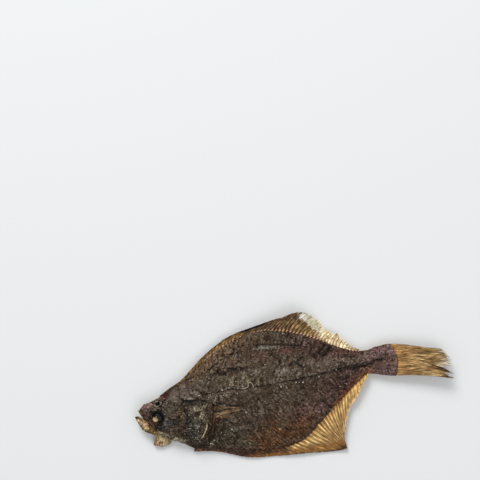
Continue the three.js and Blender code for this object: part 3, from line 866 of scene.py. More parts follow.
def paintSkin(name):
    p = Paint(name, Specular_IOR_Level=0.13)
    fine = p.noise(1.0, 4, rough=0.7)
    speck = p.noise(0.5, 2)
    pits = p.step(p.cells(0.9), 0.12, 0.02)
    tone = p.scaled(p.tone(), p.step(fine, 0.36, 0.64, 0.68, 1.38) - 0.12 * pits)
    tone = p.blend(p.step(speck, 0.64, 0.74) * 0.14, tone, (*tints["pale"], 1))
    height = 0.7 * fine + 0.2 * speck - 0.2 * pits
    return p.shade(tone, 0.34 + 0.42 * p.noise(2.5, 3), p.bump(height, 0.5))


finStreaks = {  # how many lie across and along the piece, and how strong they are
    "driedBackFin": (160, 5, 0.38),
    "driedBellyFin": (150, 4, 0.42),
    "driedSmallFin": (26, 4, 0.38),
    "driedTailFin": (8, 4, 0.5),
}


def paintFin(name):
    acrossCount, alongCount, strength = finStreaks[name]
    p = Paint(name, Specular_IOR_Level=0.22, Subsurface_Weight=0.1,
              Subsurface_Radius=(1.0, 0.5, 0.2), Subsurface_Scale=mm)
    streak = p.streaks(acrossCount, alongCount)
    fine = p.noise(0.9, 3, rough=0.7)
    streaked = p.step(streak, 0.34, 0.66, 1 - strength, 1 + strength)
    tone = p.scaled(p.tone(), streaked + 0.5 * fine - 0.25)
    return p.shade(tone, 0.4 + 0.3 * p.noise(2.5, 2), p.bump(0.7 * streak + 0.4 * fine, 0.4))


plainFinishes = {  # bright and rough each have a base and what the grain adds to it
    "driedEye": {
        "specular": 0.2, "grain": (0.8, 3), "bright": (0.6, 0.8), "rough": (0.2, 0.25), "bump": 0.2,
    },
    "dryCrumb": {
        "specular": 0.3, "grain": (0.6, 2), "bright": (0.7, 0.6), "rough": (0.6, 0.2), "bump": 0.1,
    },
}


def paintPlain(name):
    finish = plainFinishes[name]
    (bright, moreBright), (rough, moreRough) = finish["bright"], finish["rough"]
    p = Paint(name, Specular_IOR_Level=finish["specular"])
    grainy = p.noise(*finish["grain"])
    tone = p.scaled(p.tone(), bright + moreBright * grainy)
    return p.shade(tone, rough + moreRough * grainy, p.bump(grainy, finish["bump"]))


def makeBody(material):
    def place(along, turn):
        power, crowded = skin["crowding"]
        x = mix(fish["noseX"], fish["tailRootX"], mix(along, along**power, crowded))
        fromEnd = np.minimum(1, np.minimum((x - fish["noseX"]) / skin["noseRound"],
                                           (fish["tailRootX"] - x) / skin["tailRound"]))
        closing = np.sqrt(1 - (1 - np.maximum(0, fromEnd)) ** 2)
        upper = turn < skin["upperShare"]
        half = np.where(upper, turn / skin["upperShare"], (1 - turn) / (1 - skin["upperShare"]))
        share = mix(1 - 2 * half, np.cos(math.pi * half), 0.35)
        middle = middleLine(x)
        y = middle + share * np.where(share > 0, backEdge(x) - middle, middle - bellyEdge(x))
        inward = ease((1 - np.abs(share)) / 0.08)
        flat = np.stack([x, y, np.zeros(len(x))], 1)
        relief, tone = dressSkin(x, y, share, flat)
        top = skinSurface(x, y) + relief * (0.25 + 0.75 * inward)
        flat[:, 2] = 40.0
        lowRelief, lowTone = dressBlindSide(x, y, share, flat)
        hollow = clamp(0.3 + 0.5 * grain(flat * [0.5, 1, 1], 7.0)) * 0.9
        bottom = undersideSurface(x, y) + np.maximum(0, (hollow + lowRelief) * inward)
        z = mix(rimHeight(x), np.where(upper, top, bottom), closing)
        edge = 0.5 * softNoise(flat * [1, 0, 0], 4.0) * ease((np.abs(share) - 0.85) / 0.15)
        curved = x - skin["tailSkinCurve"] * share**2 * rise(x, 62, 16)
        points = np.stack([curved, mix(middle, y + edge, closing), z], 1)
        under = np.where(upper, 0.0, ease((0.99 - np.abs(share)) / 0.04))[:, None]
        return points, mix(tone, lowTone, under)

    bm = bmesh.new()
    tone = shapedBall(bm, skin["around"], skin["along"], place)
    piece = finishPiece(bm, "flounderBody", material, tone)
    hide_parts("flounder")
    return piece


# Each ray and the skin beside it are drawn by a few columns of points.
finRay = {
    "phases": (0.0, 0.1, 0.22, 0.36, 0.5, 0.64, 0.78, 0.9),  # places from one ray to the next
    "nearRoot": (1.0, 0.85, 0.3, 0.06, 0.0, 0.06, 0.3, 0.85),  # how full each is, 1 on a ray
    "nearTip": (0.15, 0.85, 0.9, 0.25, 0.0, 0.25, 0.9, 0.85),
    "split": (0.16, 0.34),  # where a ray starts to part in two, and over how much of its length
    "membrane": 0.2,  # half thickness of the skin between the rays
}
backFin = {
    "name": "backFin",
    "rows": [  # root x, y, then tip x, y, z
        (-99, 3.9, -99.4, 5.2, 5.0),
        (-90.5, 7.8, -90.3, 9.7, 5.0),
        (-82, 11.0, -81.4, 13.8, 5.0),
        (-65, 22.6, -61.8, 28.2, 4.2),
        (-48, 32.0, -41.5, 38.8, 4.0),
        (-31, 37.4, -21.5, 43.0, 6.2),
        (-14, 39.2, 2.6, 46.5, 9.1),
        (1, 36.2, 17.2, 47.8, 9.5),
        (11, 32.6, 28.2, 39.6, 5.6),
        (21, 27.6, 31.8, 32.4, 3.4),
        (27, 24.4, 35.9, 28.4, 3.6),
        (31, 21.8, 38.4, 26.2, 4.4),
        (34.5, 19.5, 41.0, 26.6, 6.6),
        (37.5, 17.4, 42.6, 23.2, 5.8),
        (41, 15.4, 45.6, 19.2, 5.4),
        (47, 12.6, 49.6, 14.9, 5.6),
        (54, 10.4, 55.1, 11.0, 6.0),
    ],
    "rays": 60,
    "crowding": 0.14,  # how much closer the rays stand towards the tail
    "outward": 1,  # 1 towards the back, -1 towards the belly
    "sag": -0.6,
    "rayHalf": (0.6, 0.28),  # half thickness of a ray at its root and at its tip
    "pleat": 0.35,  # how deep the skin lies between the rays
    "rootInside": 3.4,  # how far the root runs on into the body
    "rootDrop": 0.2,
    "meshRows": 30,
    "ragged": 0.07,  # how unequal the tips are
    "torn": 0.12,  # how many of the gaps are torn
    "seed": 4,
}
bellyFin = {
    "name": "bellyFin",
    "rows": [
        (-80, -37.8, -82.0, -41.2, 2.4),
        (-66, -41.4, -65.0, -44.6, 1.6),
        (-48, -47.2, -43.5, -53.0, 1.2),
        (-28, -50.4, -20.0, -56.8, 1.2),
        (-13, -51.0, 3.0, -58.8, 1.6),
        (-2, -48.9, 22.0, -61.4, 1.4),
        (7, -43.6, 31.4, -61.6, 1.8),
        (16, -37.0, 32.4, -60.8, 2.2),
        (25, -30.2, 32.2, -58.4, 2.8),
        (31, -25.7, 31.4, -52.6, 3.8),
        (36, -22.2, 33.8, -44.6, 5.0),
        (39.5, -19.9, 36.8, -36.4, 5.8),
        (42.5, -17.8, 40.4, -29.6, 5.6),
        (45.5, -15.5, 44.8, -25.6, 5.8),
        (49, -13.2, 48.8, -20.4, 6.2),
        (53, -10.9, 53.1, -14.4, 6.4),
        (57.5, -8.4, 57.8, -9.1, 6.6),
    ],
    "rays": 44,
    "crowding": 0.1,
    "outward": -1,
    "sag": 1.2,
    "rayHalf": (0.8, 0.32),
    "pleat": 0.5,
    "rootInside": 3.4,
    "rootDrop": 0.9,
    "meshRows": 36,
    "ragged": 0.03,
    "torn": 0.05,
    "seed": 9,
}
breastFin = {
    "name": "breastFin",
    "rows": [
        (-60.2, -9.6, -37.4, -15.0, 0),
        (-60.8, -11.8, -36.8, -15.8, 0),
        (-61.4, -14.0, -38.4, -16.8, 0),
        (-62.0, -16.8, -42.5, -18.6, 0),
        (-62.6, -19.4, -47.5, -20.6, 0),
        (-63.2, -21.6, -54.0, -22.6, 0),
    ],
    "rays": 11,
    "crowding": 0.0,
    "outward": -1,
    "sag": 0.0,
    "rayHalf": (0.45, 0.2),
    "pleat": 0.3,
    "rootInside": 0.0,
    "rootDrop": 0.0,
    "meshRows": 44,
    "ragged": 0.2,
    "torn": 0.0,
    "seed": 31,
    "onSkin": (0.7, 0.1),
    "threads": [  # colour, amount, width, then the places that each thread runs through
        ("finBrown", 0.92, 1.7, [
            (-62.8, -15.8), (-55.9, -17.0), (-49.7, -16.2), (-44.9, -15.7), (-40.0, -15.4),
        ]),
        ("finBrown", 0.75, 0.8, [(-58.5, -11.5), (-52.5, -12.2), (-46.0, -13.2), (-38.0, -14.3)]),
        ("finBrown", 0.5, 0.9, [(-61.5, -11.5), (-59.5, -13.0)]),
        ("finBrown", 0.6, 0.7, [(-61.0, -18.4), (-55.0, -19.0), (-50.0, -18.8), (-45.0, -18.2)]),
        ("umber", 0.6, 0.4, [(-60.0, -16.4), (-53.0, -17.2), (-46.0, -16.2)]),
        ("ray", 0.4, 0.35, [(-57.0, -15.9), (-51.5, -16.9), (-46.5, -16.2), (-40.0, -15.7)]),
        ("black", 1.0, 0.95, [(-63.5, -13.2), (-59.0, -13.9), (-54.8, -14.3)]),
        ("black", 0.9, 0.7, [(-54.2, -13.3), (-50.6, -13.9), (-47.2, -14.2)]),
        ("black", 1.0, 0.75, [(-50.5, -17.4), (-46.0, -17.4), (-42.0, -17.2), (-36.4, -17.7)]),
        ("blackish", 0.9, 0.9, [(-56.5, -20.6), (-52.0, -21.4), (-47.5, -21.9)]),
    ],
}
throatFin = {
    "name": "throatFin",
    "rows": [
        (-106.6, -23.2, -109.6, -26.8, 2.4),
        (-105.0, -24.4, -110.7, -30.8, 2.2),
        (-102.2, -26.0, -105.8, -33.0, 2.2),
        (-99.2, -27.8, -102.0, -33.5, 2.2),
        (-96.4, -29.2, -97.4, -31.6, 2.6),
    ],
    "rays": 7,
    "crowding": 0.0,
    "outward": -1,
    "sag": 0.4,
    "rayHalf": (0.8, 0.34),
    "pleat": 0.3,
    "rootInside": 1.5,
    "rootDrop": 0.3,
    "meshRows": 26,
    "ragged": 0.1,
    "torn": 0.0,
    "seed": 17,
}


def finLines(fin):
    rows = np.array(fin["rows"], float)
    steps = np.hypot(*np.diff(rows[:, :2], axis=0).T)
    places = np.concatenate([[0], np.cumsum(steps)]) / steps.sum()
    table = [(place, *row) for place, row in zip(places, rows)]
    return [profile(table, column) for column in range(1, 6)]


def raySpot(fin, number):  # how far along the fin's root a ray stands, from 0 to 1
    s = number / fin["rays"]
    return s + fin["crowding"] * s * (1 - s)


def fullness(phase, v):  # 1 on a ray and 0 between two; each ray parts in two on its way out
    start, over = finRay["split"]
    nearRoot, nearTip = np.array(finRay["nearRoot"]), np.array(finRay["nearTip"])
    return mix(nearRoot[phase], nearTip[phase], rise(v, start, over))


def makeFin(fin, material, dress):
    rng = np.random.default_rng(fin["seed"])
    lines = finLines(fin)
    rays, steps = fin["rays"], len(finRay["phases"])
    rayReach = 1 - fin["ragged"] * rng.random(rays + 2) ** 2
    gapReach = 0.96 - 2 * fin["ragged"] * rng.random(rays + 2) ** 3
    torn = rng.random(rays + 2) < fin["torn"]
    gapReach[torn] -= 0.2 * rng.random(torn.sum())
    bend = rng.normal(0, 0.3, rays + 2)
    brightness = rng.normal(0, 1, rays + 2)

    def place(u, v, side):
        column = np.rint(u * rays * steps).astype(int)
        ray, phase = column // steps, column % steps
        full = fullness(phase, v)
        number = np.minimum(ray + np.array(finRay["phases"])[phase], rays)
        rootX, rootY, tipX, tipY, tipZ = [line(raySpot(fin, number)) for line in lines]
        nearest = np.where(phase < steps / 2, ray, ray + 1)
        reach = mix(gapReach[ray], rayReach[nearest], np.where(phase == steps // 2, 0, full**0.5))
        out = v * reach
        length = np.hypot(tipX - rootX, tipY - rootY)
        x = mix(rootX, tipX, out) + bend[nearest] * v * (1 - v) * ease(length / 8)
        y = mix(rootY, tipY, out) - fin["outward"] * fin["rootInside"] * (1 - v) ** 3
        sunk = fin["pleat"] * (1 - full) * ease(v / 0.2) * (1 - 0.5 * v)
        sunk = sunk + fin["rootDrop"] * fall(v, 0, 0.22)
        half = mix(*fin["rayHalf"], v) * mix(finRay["membrane"] / fin["rayHalf"][0], 1, full)
        if "onSkin" in fin:
            z = skinSurface(x, y) + mix(*fin["onSkin"], v) - sunk + np.where(side > 0, half, -1.2)
        else:
            wave = 0.5 * np.sin(number * 0.8) * v * ease(length / 10)
            sag = fin["sag"] * np.sin(math.pi * v) * ease(length / 20)
            z = mix(rimHeight(rootX), tipZ, out) + sag + wave - sunk + side * half
        points = np.stack([x, y, z], 1)
        z = z + 0.14 * softNoise(points * [1, 1, 0], 1.8) * v
        tone = dress(x, y, v, full, brightness[nearest], points * [1, 1, 0])
        return np.stack([x, y, z], 1), tone

    bm, tone = shapedSheet(rays * steps, fin["meshRows"], place)
    return finishPiece(bm, fin["name"], material, tone)


bleachedPatch = {
    "path": [(17.3, 44.2), (22.6, 41.0), (26.0, 36.2), (29.2, 31.4)],
    "half": (1.8, 4.8, 4.6, 2.6),
}


def dressBackFin(x, y, v, full, bright, points):
    patchy = clamp(0.5 + 1.1 * grain(points, 4.0))
    blotch = clamp(0.5 + 1.3 * grain(points + 30.0, 2.2))
    lobe = rise(x, -34, 12)
    rear = ease((x + y * 0.25 - 30) / 7)
    oliveZone = 0.8 * patch(x, y, (17, 33.5), 11, 6, -25)
    thin = mix(ease(full * 1.5 - 0.4), 1.0 - (1 - full) ** 2, rear)
    coat = Coat(len(x), "edgeGap")
    coat.add("edgeRay", thin)
    zones = [("lobeGap", "lobeRay", lobe), ("oliveGap", "oliveRay", oliveZone)]
    zones.append(("tail", "creamRay", rear))
    for gap, ray, amount in zones:
        layer = Coat(len(x), gap)
        layer.add(ray, thin)
        coat.tone = mix(coat.tone, layer.tone, amount[:, None])
    coat.add("edgeRay", 0.4 * patchy * (1 - lobe))
    coat.add("goldGap", 0.45 * rear * ease((0.3 - v) / 0.3))
    coat.add("rose", 0.25 * bell((v - 0.2) / 0.1) * lobe * (1 - rear) * full)
    coat.add("blackish", 0.9 * bell((v - 0.05) / 0.09) * (1 - rear))
    coat.wearAndShade(0.16 * bright + 0.4 * (patchy - 0.5) + mix(0.8, 0.25, rear) * (blotch - 0.5))
    # painted shade on the outer part of the front lobe, where its rolled top edge turns away from
    # the light
    coat.add("black", rise(v, 0.58, 0.12) * fall(x, -13, 5) * rise(x, -32, 4))
    coat.add("skin", 0.9 * fall(x, -90, 14))
    coat.add("blackish", 0.5 * rise(v, 0.75, 0.15) * fall(x, -36, 6) * rise(x, -70, 10))
    coat.add("rose", 0.45 * rise(v, 0.9, 0.08) * rise(x, -8, 4) * fall(x, 13, 4) * blotch)
    far, along = lineDistance(bleachedPatch["path"], x, y)
    half = np.interp(along, (0, 0.33, 0.67, 1), bleachedPatch["half"])
    bleach = ease((half - far + 1.5 * grain(points, 2.8, 2)) / 0.8)
    bleach = bleach * mix(rise(v, 0.3, 0.35), 1, rise(x, 22, 8))
    coat.add("bleached", 0.95 * bleach * mix(0.6, 1, full))
    coat.add("pale", 0.6 * bleach * ease((0.3 - blotch) / 0.2))
    coat.add("white", 0.9 * patch(x, y, (17.6, 43.7), 2.6, 2.2, 0, 0.4 * softNoise(points, 1.5)))
    coat.add("oliveGap", 0.6 * patch(x, y, (40.3, 25.8), 2.0, 1.4))
    return coat.tone


def dressBellyFin(x, y, v, full, bright, points):
    patchy = clamp(0.5 + 1.1 * grain(points, 4.0))
    blotch = clamp(0.5 + 1.3 * grain(points + 30.0, 2.2))
    fan = rise(x, -16, 12)
    upper = rise(x, 36, 8)
    wide = mix(1.0 - (1 - full) ** 1.5, full**0.9, rise(v, 0.15, 0.25))
    coat = Coat(len(x), "rimDark")
    coat.add("rimRay", (0.5 * wide + 0.35) * patchy * mix(0.45, 1, rise(x, -52, 24)))
    coat.add("amber", 0.7 * rise(x, -48, 16) * rise(v, 0.45, 0.3))
    coat.add("rose", 0.75 * rise(blotch, 0.62, 0.15) * rise(v, 0.3, 0.3) * fall(x, -58, 10))
    coat.add("oxideDark", 0.6 * rise(blotch, 0.62, 0.2) * ease((-24 - x) / 14))
    zones = []
    for gap, ray in (("goldGap", "straw"), ("rayGap", "ray"), ("outerGap", "paleRay")):
        zone = Coat(len(x), gap)
        zone.add(ray, wide)
        zones.append(zone.tone)
    outward = rise(v, 0.18, 0.3) * (1 - 0.7 * upper)
    last = rise(v, 0.55, 0.3) * rise(x, 24, 7)
    fanTone = mix(mix(zones[0], zones[1], outward[:, None]), zones[2], last[:, None])
    coat.tone = mix(coat.tone, fanTone, fan[:, None])
    coat.add("gold", 0.4 * upper * (1 - outward))
    coat.add("tan", 0.85 * fall(v, 0.08, 0.2) * rise(x, 26, 10))
    coat.add("tan", 0.7 * fall(v, 0.1, 0.16) * fan * mix(0.6, 1, patchy))
    low = fan * ease((-y - 51) / 5) * fall(x, 28, 8)
    coat.add("amber", 0.72 * low)
    wearAndShading = 0.14 * bright * (1 - 0.5 * upper) + 0.3 * (patchy - 0.5)
    coat.wearAndShade(wearAndShading + mix(0.7, 0.3, fan) * (blotch - 0.5))
    coat.add("edgeGap", 0.9 * rise(v, 0.84, 0.1) * fall(x, 26, 8) * fan)
    coat.add("umber", 0.8 * patch(x, y, (31.5, -60.6), 5.0, 2.2, -30))
    coat.add("straw", 0.6 * rise(v, 0.86, 0.1) * rise(x, 33, 4))
    coat.add("blackish", 0.45 * patchy * (1 - fan) * fall(v, 0.2, 0.3))
    return coat.tone


def dressBreastFin(x, y, v, full, bright, points):
    patchy = clamp(0.5 + 1.2 * grain(points, 2.6))
    wearAndShading = 0.5 * puffs(points, 2.4) + 0.4 * puffs(points + 60.0, 1.3)
    coat = Coat(len(x), "umber")
    coat.add("rust", 0.5 + 0.5 * patchy)
    coat.add("band", 0.5 * full)
    coat.add("oliveSkin", 0.7 * ease((v - 0.66 + 0.5 * (patchy - 0.5)) / 0.3))
    coat.add("black", 0.4 * ease((0.25 - full) / 0.25) * fall(v, 0.5, 0.4))
    for name, amount, width, path in breastFin["threads"]:
        far, along = lineDistance(path, x, y + 0.4 * softNoise(points, 2.2))
        coat.add(name, amount * bell(far / width) * ease(along / 0.1) * ease((1 - along) / 0.15))
    coat.add("oxideDark", patch(x, y, (-58.3, -20.4), 2.2, 2.3, -30, 0.3 * wearAndShading))
    salted = 0.5 * patch(x, y, (-43.4, -20.0), 2.6, 0.9, 10)
    coat.add("pale", salted + 0.45 * patch(x, y, (-36.6, -14.6), 1.6, 1.2))
    coat.wearAndShade(0.14 * bright + np.clip(wearAndShading, -1.5, 0.8))
    return coat.tone


def dressThroatFin(x, y, v, full, bright, points):
    patchy = clamp(0.5 + 1.1 * grain(points, 2.2))
    coat = Coat(len(x), "jawPale")
    coat.add("ashOlive", 0.5 * patchy)
    coat.add("cream", 0.8 * patch(x, y, (-104.0, -28.0), 4.8, 4.4) * mix(0.4, 1, full))
    rosy = 0.85 * patch(x, y, (-108.4, -30.0), 3.2, 3.4, 0, patchy - 0.5)
    coat.add("rose", rosy * mix(0.5, 1, full))
    coat.add("ashOlive", 0.5 * rise(x, -100, 4) * patchy)
    coat.add("umber", 0.5 * (1 - full) * rise(v, 0.2, 0.3))
    coat.add("ash", 0.5 * ease((-109.4 - x) / 1.4))
    coat.add("umber", 0.55 * rise(v, 0.9, 0.1))
    coat.wearAndShade(0.12 * bright + 0.7 * (patchy - 0.5))
    return coat.tone


knuckle = {
    "long": 1.7,
    "wide": 0.62,
    "high": 0.6,
    "rise": 0.75,
    "inward": 0.2,
    "sides": 8,
    "rings": 7,
    "rays": (14, 50),
}


# The end of the bone under each ray shows as a bead along the root of the fin.
def makeKnuckles(fin, material):
    lines = finLines(fin)
    rng = np.random.default_rng(fin["seed"] + 20)
    bm = bmesh.new()
    tones = []
    for number in range(*knuckle["rays"]):
        rootX, rootY, tipX, tipY, _ = [float(line(raySpot(fin, number))) for line in lines]
        size, turn = rng.uniform(0.8, 1.15), math.atan2(tipY - rootY, tipX - rootX)
        shade = rng.uniform(0.7, 1.25)

        def place(along, around):
            angle, tilt = 2 * math.pi * around, math.pi * along
            out = knuckle["long"] * size * np.cos(tilt)
            side = knuckle["wide"] * size * np.sin(tilt) * np.cos(angle)
            x = rootX + out * math.cos(turn) - side * math.sin(turn)
            y = rootY - knuckle["inward"] + out * math.sin(turn) + side * math.cos(turn)
            z = float(rimHeight(rootX)) + knuckle["rise"]
            z = z + knuckle["high"] * np.sin(tilt) * np.sin(angle)
            coat = Coat(len(x), "rose")
            coat.add("paleRay", np.full(len(x), 0.45))
            coat.add("blackish", 0.8 * ease((np.cos(tilt) * -1 - 0.2) / 0.6))
            coat.shade(np.full(len(x), shade))
            return np.stack([x, y, z], 1), coat.tone

        tones.append(shapedBall(bm, knuckle["sides"], knuckle["rings"], place))
    return finishPiece(bm, "backKnuckles", material, np.concatenate(tones))


tail = {
    "upper": [
        (72, 11.4), (78, 11.2), (86, 9.3), (93, 7.2), (100, 5.0), (107, 2.8), (114.4, 0.7),
        (120.6, -3.2),
    ],
    "lower": [(72, -11.8), (77.3, -13.0), (88, -14.7), (103, -17.9), (119.5, -23.0)],
    # how far up the width each seam between two bundles runs, how far it opens, and from where
    "seams": [
        ([(73, 0.0), (120, 0.0)], 0.0, 100),
        ([(73, 0.1), (84, 0.12), (100, 0.16), (119, 0.08)], 0.02, 110),
        ([(73, 0.28), (84, 0.3), (97, 0.3), (111, 0.23), (119.5, 0.16)], 0.01, 112),
        ([(73, 0.52), (84, 0.56), (98, 0.5), (112, 0.36), (118.5, 0.28)], 0.035, 110),
        ([(73, 0.58), (98, 0.58), (112, 0.48), (118.5, 0.42)], 0.03, 113),
        ([(73, 0.64), (98, 0.64), (112, 0.61), (118.5, 0.6)], 0.025, 114),
        ([(73, 0.72), (91.5, 0.71), (113, 0.75), (119.8, 0.76)], 0.02, 115),
        ([(73, 0.86), (119, 0.87)], 0.015, 114),
        ([(73, 1.0), (120, 1.0)], 0.0, 100),
    ],
    "ends": (120.4, 117.6, 120.8, 117.8, 120.4, 121.4, 120.8, 119.2),
    "tipTint": ("olive", "ray", "olive", "tailTip", "tailTip", "tailTip", "ray", "tailTip"),
    "tintFrom": (0.82, 0.7, 0.66, 0.8, 0.84, 0.84, 0.86, 0.84),
    "startX": 73.0,
    "rootDrop": (0.7, 76.0, 9.0),
    "rays": 3,
    "half": (1.0, 0.4),
    "stagger": 0.45,
    "cup": (1.6, 5.0),
    "meshRows": 90,
    "seed": 12,
}


def makeTail(material):
    upper, lower = profile(tail["upper"]), profile(tail["lower"])
    seams = [(profile(rows), opening, opensAt) for rows, opening, opensAt in tail["seams"]]
    rng = np.random.default_rng(tail["seed"])
    rays, steps = tail["rays"], len(finRay["phases"])

    def gap(opening, opensAt, x):
        return opening * ease((x - opensAt) / (120.5 - opensAt))

    for index, endX in enumerate(tail["ends"]):
        (start, *startOpen), (end, *endOpen) = seams[index], seams[index + 1]
        raggedEnd = 1 - 0.09 * rng.random(rays * steps + 1) ** 1.5
        wobble, bright = rng.uniform(0, 6.28), rng.normal(0, 0.5)

        def place(u, v, side):
            column = np.rint(u * rays * steps).astype(int)
            full = fullness((column + steps // 2) % steps, v)
            x = mix(tail["startX"], endX, v * raggedEnd[column] * mix(0.96, 1, full))
            overlap = 0.012 * fall(x, 108, 12)
            share = mix(start(x) + gap(*startOpen, x) - overlap * (index > 0),
                        end(x) - gap(*endOpen, x) + overlap * (index < len(tail["ends"]) - 1), u)
            sway = 0.01 * np.sin(x / 4.3 + wobble) * rise(v, 0.1, 0.3) * ease(v * 8) * (1 - v)
            share = share + sway
            arch = mix(0.35, 1, 1 - (2 * u - 1) ** 2)
            half = mix(*tail["half"], v) * arch * mix(0.65, 1, full)
            height, turn = tail["cup"]
            drop, dropFrom, dropOver = tail["rootDrop"]
            z = rimHeight(x) + tail["stagger"] * (index % 2) * v + height * np.sin(share * turn) * v
            z = z - drop * (1 - ease((x - dropFrom) / dropOver))
            z = z + 0.35 * np.sin(x / 5.1 + wobble * 2) * v + side * half
            y = mix(lower(x), upper(x), share)
            points = np.stack([x, y, np.full(len(x), 9.0 * index)], 1)
            z = z + 0.2 * softNoise(points * [0.22, 1, 1], 1.4)
            patchy = clamp(0.5 + 1.2 * grain(points * [0.2, 1, 1], 2.2))
            streaky = grain(points * [0.06, 1, 1] + 7.0, 0.62, 2)
            edge = ease((np.abs(2 * u - 1) - 0.72) / 0.28)
            tip = rise(v, 0.8, 0.2)
            coat = Coat(len(x), "tailGap")
            coat.add("tail", 0.3 + 0.7 * (1 - (1 - full) ** 2))
            coat.add("tailLight", 0.8 * full * rise(patchy, 0.45, 0.4) * rise(v, 0.2, 0.4))
            coat.add("tailRoot", 0.7 * fall(v, 0.24, 0.3) * full)
            coat.add("tailGap", 0.5 * ease((0.4 - patchy) / 0.3))
            stain = 0.5 * patch(x, y, (103, 0.6), 6, 1.6, -20)
            coat.add("oliveGap", stain + 0.5 * patch(x, y, (116, -0.8), 1.6, 1.2))
            coat.add("redBrown", 0.35 * patch(x, y, (104, -12.4), 7, 1.3, -20))
            coat.add(tail["tipTint"][index], 0.85 * ease((v - tail["tintFrom"][index]) / 0.16))
            coat.add("blackish", 0.8 * edge * rise(v, 0.14, 0.2) * mix(0.4, 1, patchy))
            coat.add("umber", 0.4 * tip * (1 - patchy))
            specks = grain(points * [0.5, 1, 1] + 3.0, 0.9, 2)
            coat.wearAndShade(0.12 * bright + np.clip(0.85 * streaky + 0.3 * specks, -1.2, 0.5))
            return np.stack([x, y, z], 1), coat.tone

        bm, tone = shapedSheet(rays * steps, tail["meshRows"], place)
        finishPiece(bm, f"tailRays{index + 1}", material, tone)


# Each piece round the mouth is a rod through these places.
mouth = {
    "lowerJaw": [  # x, y, z, half width, half height
        (-120.3, -6.6, 6.4, 0.9, 1.3),
        (-117.2, -10.2, 5.8, 2.3, 2.1),
        (-114.4, -14.0, 5.6, 3.3, 2.7),
        (-111.4, -17.2, 5.6, 3.2, 2.8),
        (-108.6, -19.8, 5.6, 2.7, 2.6),
        (-105.2, -22.6, 5.4, 1.4, 2.0),
    ],
    "innerLip": [
        (-118.8, -6.4, 7.3, 0.5, 0.6),
        (-116.4, -8.4, 7.5, 0.7, 0.6),
        (-114.0, -11.0, 7.6, 0.8, 0.6),
        (-111.4, -13.6, 7.8, 0.6, 0.6),
    ],
    "upperLip": [
        (-116.9, -2.2, 6.8, 0.5, 0.7),
        (-116.0, -3.4, 6.9, 0.8, 0.9),
        (-114.9, -5.2, 7.0, 0.8, 1.0),
        (-113.2, -7.6, 7.2, 0.6, 0.8),
    ],
    "upperJaw": [
        (-114.6, -2.8, 6.6, 1.2, 1.8),
        (-112.8, -5.8, 7.0, 1.8, 2.2),
        (-110.2, -9.4, 7.6, 2.3, 2.2),
        (-108.0, -15.6, 7.6, 1.8, 1.8),
    ],
    "cheekStrap": [
        (-110.6, -9.6, 8.8, 0.6, 0.5),
        (-108.9, -12.4, 9.0, 1.1, 0.8),
        (-107.6, -15.6, 8.8, 1.0, 0.8),
        (-107.4, -19.6, 8.0, 0.7, 0.7),
    ],
    "snout": [
        (-114.6, -2.6, 6.4, 1.0, 1.6),
        (-110.6, -1.4, 6.9, 2.8, 2.6),
        (-105.0, -2.6, 7.9, 3.2, 2.6),
    ],
}
mouthBases = {
    "lowerJaw": "jaw",
    "innerLip": "finBrown",
    "upperLip": "lipGreen",
    "upperJaw": "wine",
    "cheekStrap": "rust",
    "snout": "mauve",
}
mouthDabs = [  # colour, x, y, wide, deep, turn, amount
    ("jawGreen", -110.5, -19.0, 6.0, 2.6, -42, 0.85),
    ("olive", -119.6, -7.0, 2.6, 1.6, -45, 0.95),
    ("olive", -116.6, -9.2, 3.4, 0.6, -50, 0.9),
    ("pink", -113.6, -13.4, 2.0, 1.0, -45, 0.35),
    ("umber", -108.2, -15.0, 1.2, 3.0, 20, 0.5),
    ("lipGreen", -116.0, -3.6, 2.0, 1.0, -55, 0.8),
    ("olive", -114.6, -6.4, 1.4, 1.0, -55, 0.8),
]


def makeMouth(material):
    for name, base in mouthBases.items():
        def dress(points, along, turn):
            x, y = points[:, 0], points[:, 1]
            flat = points * [1, 1, 0.4]
            coat = Coat(len(x), base)
            if name in ("lowerJaw", "innerLip", "upperLip"):
                coat.dab(x, y, mouthDabs, 0.5 * grain(flat, 2.0, 2))
            if name in ("upperJaw", "snout"):
                coat.add("pink", 0.5 * ease((grain(flat, 1.7, 2) - 0.1) / 0.3))
                coat.add("wine", 0.6 * ease((-grain(flat, 2.2, 2) - 0.05) / 0.3))
            if name == "lowerJaw":
                sideways, upwards = np.cos(2 * math.pi * turn), np.sin(2 * math.pi * turn)
                outer = rise(sideways, 0.72, 0.2) + rise(-sideways, 0.9, 0.1)
                coat.add("olive", 0.75 * clamp(outer))
                crest = bell((sideways - 0.15) / 0.34) * (upwards > 0)
                coat.add("jawPale", 0.85 * crest * fall(along, 0.4, 0.3) * rise(along, 0.08, 0.08))
                coat.add("blind", 0.5 * ease(0.3 - upwards))
            coat.shade(np.exp(0.75 * np.clip(puffs(flat, 2.2), -1.2, 0.8)))
            return coat.tone

        bm = bmesh.new()
        tone = shapedRod(bm, mouth[name], dress, aroundCount=44, alongCount=64, roughness=0.16)
        finishPiece(bm, name, material, tone)


nosePlates = {
    "plates": [  # x, y, size, colour
        (-112.6, -1.6, 1.1, "ashOlive"), (-110.4, -0.2, 1.2, "mauve"), (-107.8, 0.8, 1.1, "cheek"),
        (-111.2, -3.4, 1.2, "pink"), (-108.8, -2.0, 1.3, "mauve"), (-106.2, -0.8, 1.1, "headGrey"),
        (-112.6, -5.2, 1.0, "mauve"), (-110.2, -5.6, 1.1, "mauve"), (-108.2, -4.2, 0.9, "wine"),
        (-111.8, -7.4, 1.0, "mauve"), (-109.6, -7.6, 1.1, "wine"), (-108.0, -6.4, 0.8, "mauve"),
        (-110.6, -9.4, 0.9, "wine"), (-104.4, 1.4, 0.9, "ash"), (-103.6, -3.2, 1.0, "headGrey"),
    ],
    "rise": 0.25,
    "flat": 0.5,
    "sides": 14,
    "rings": 9,
}


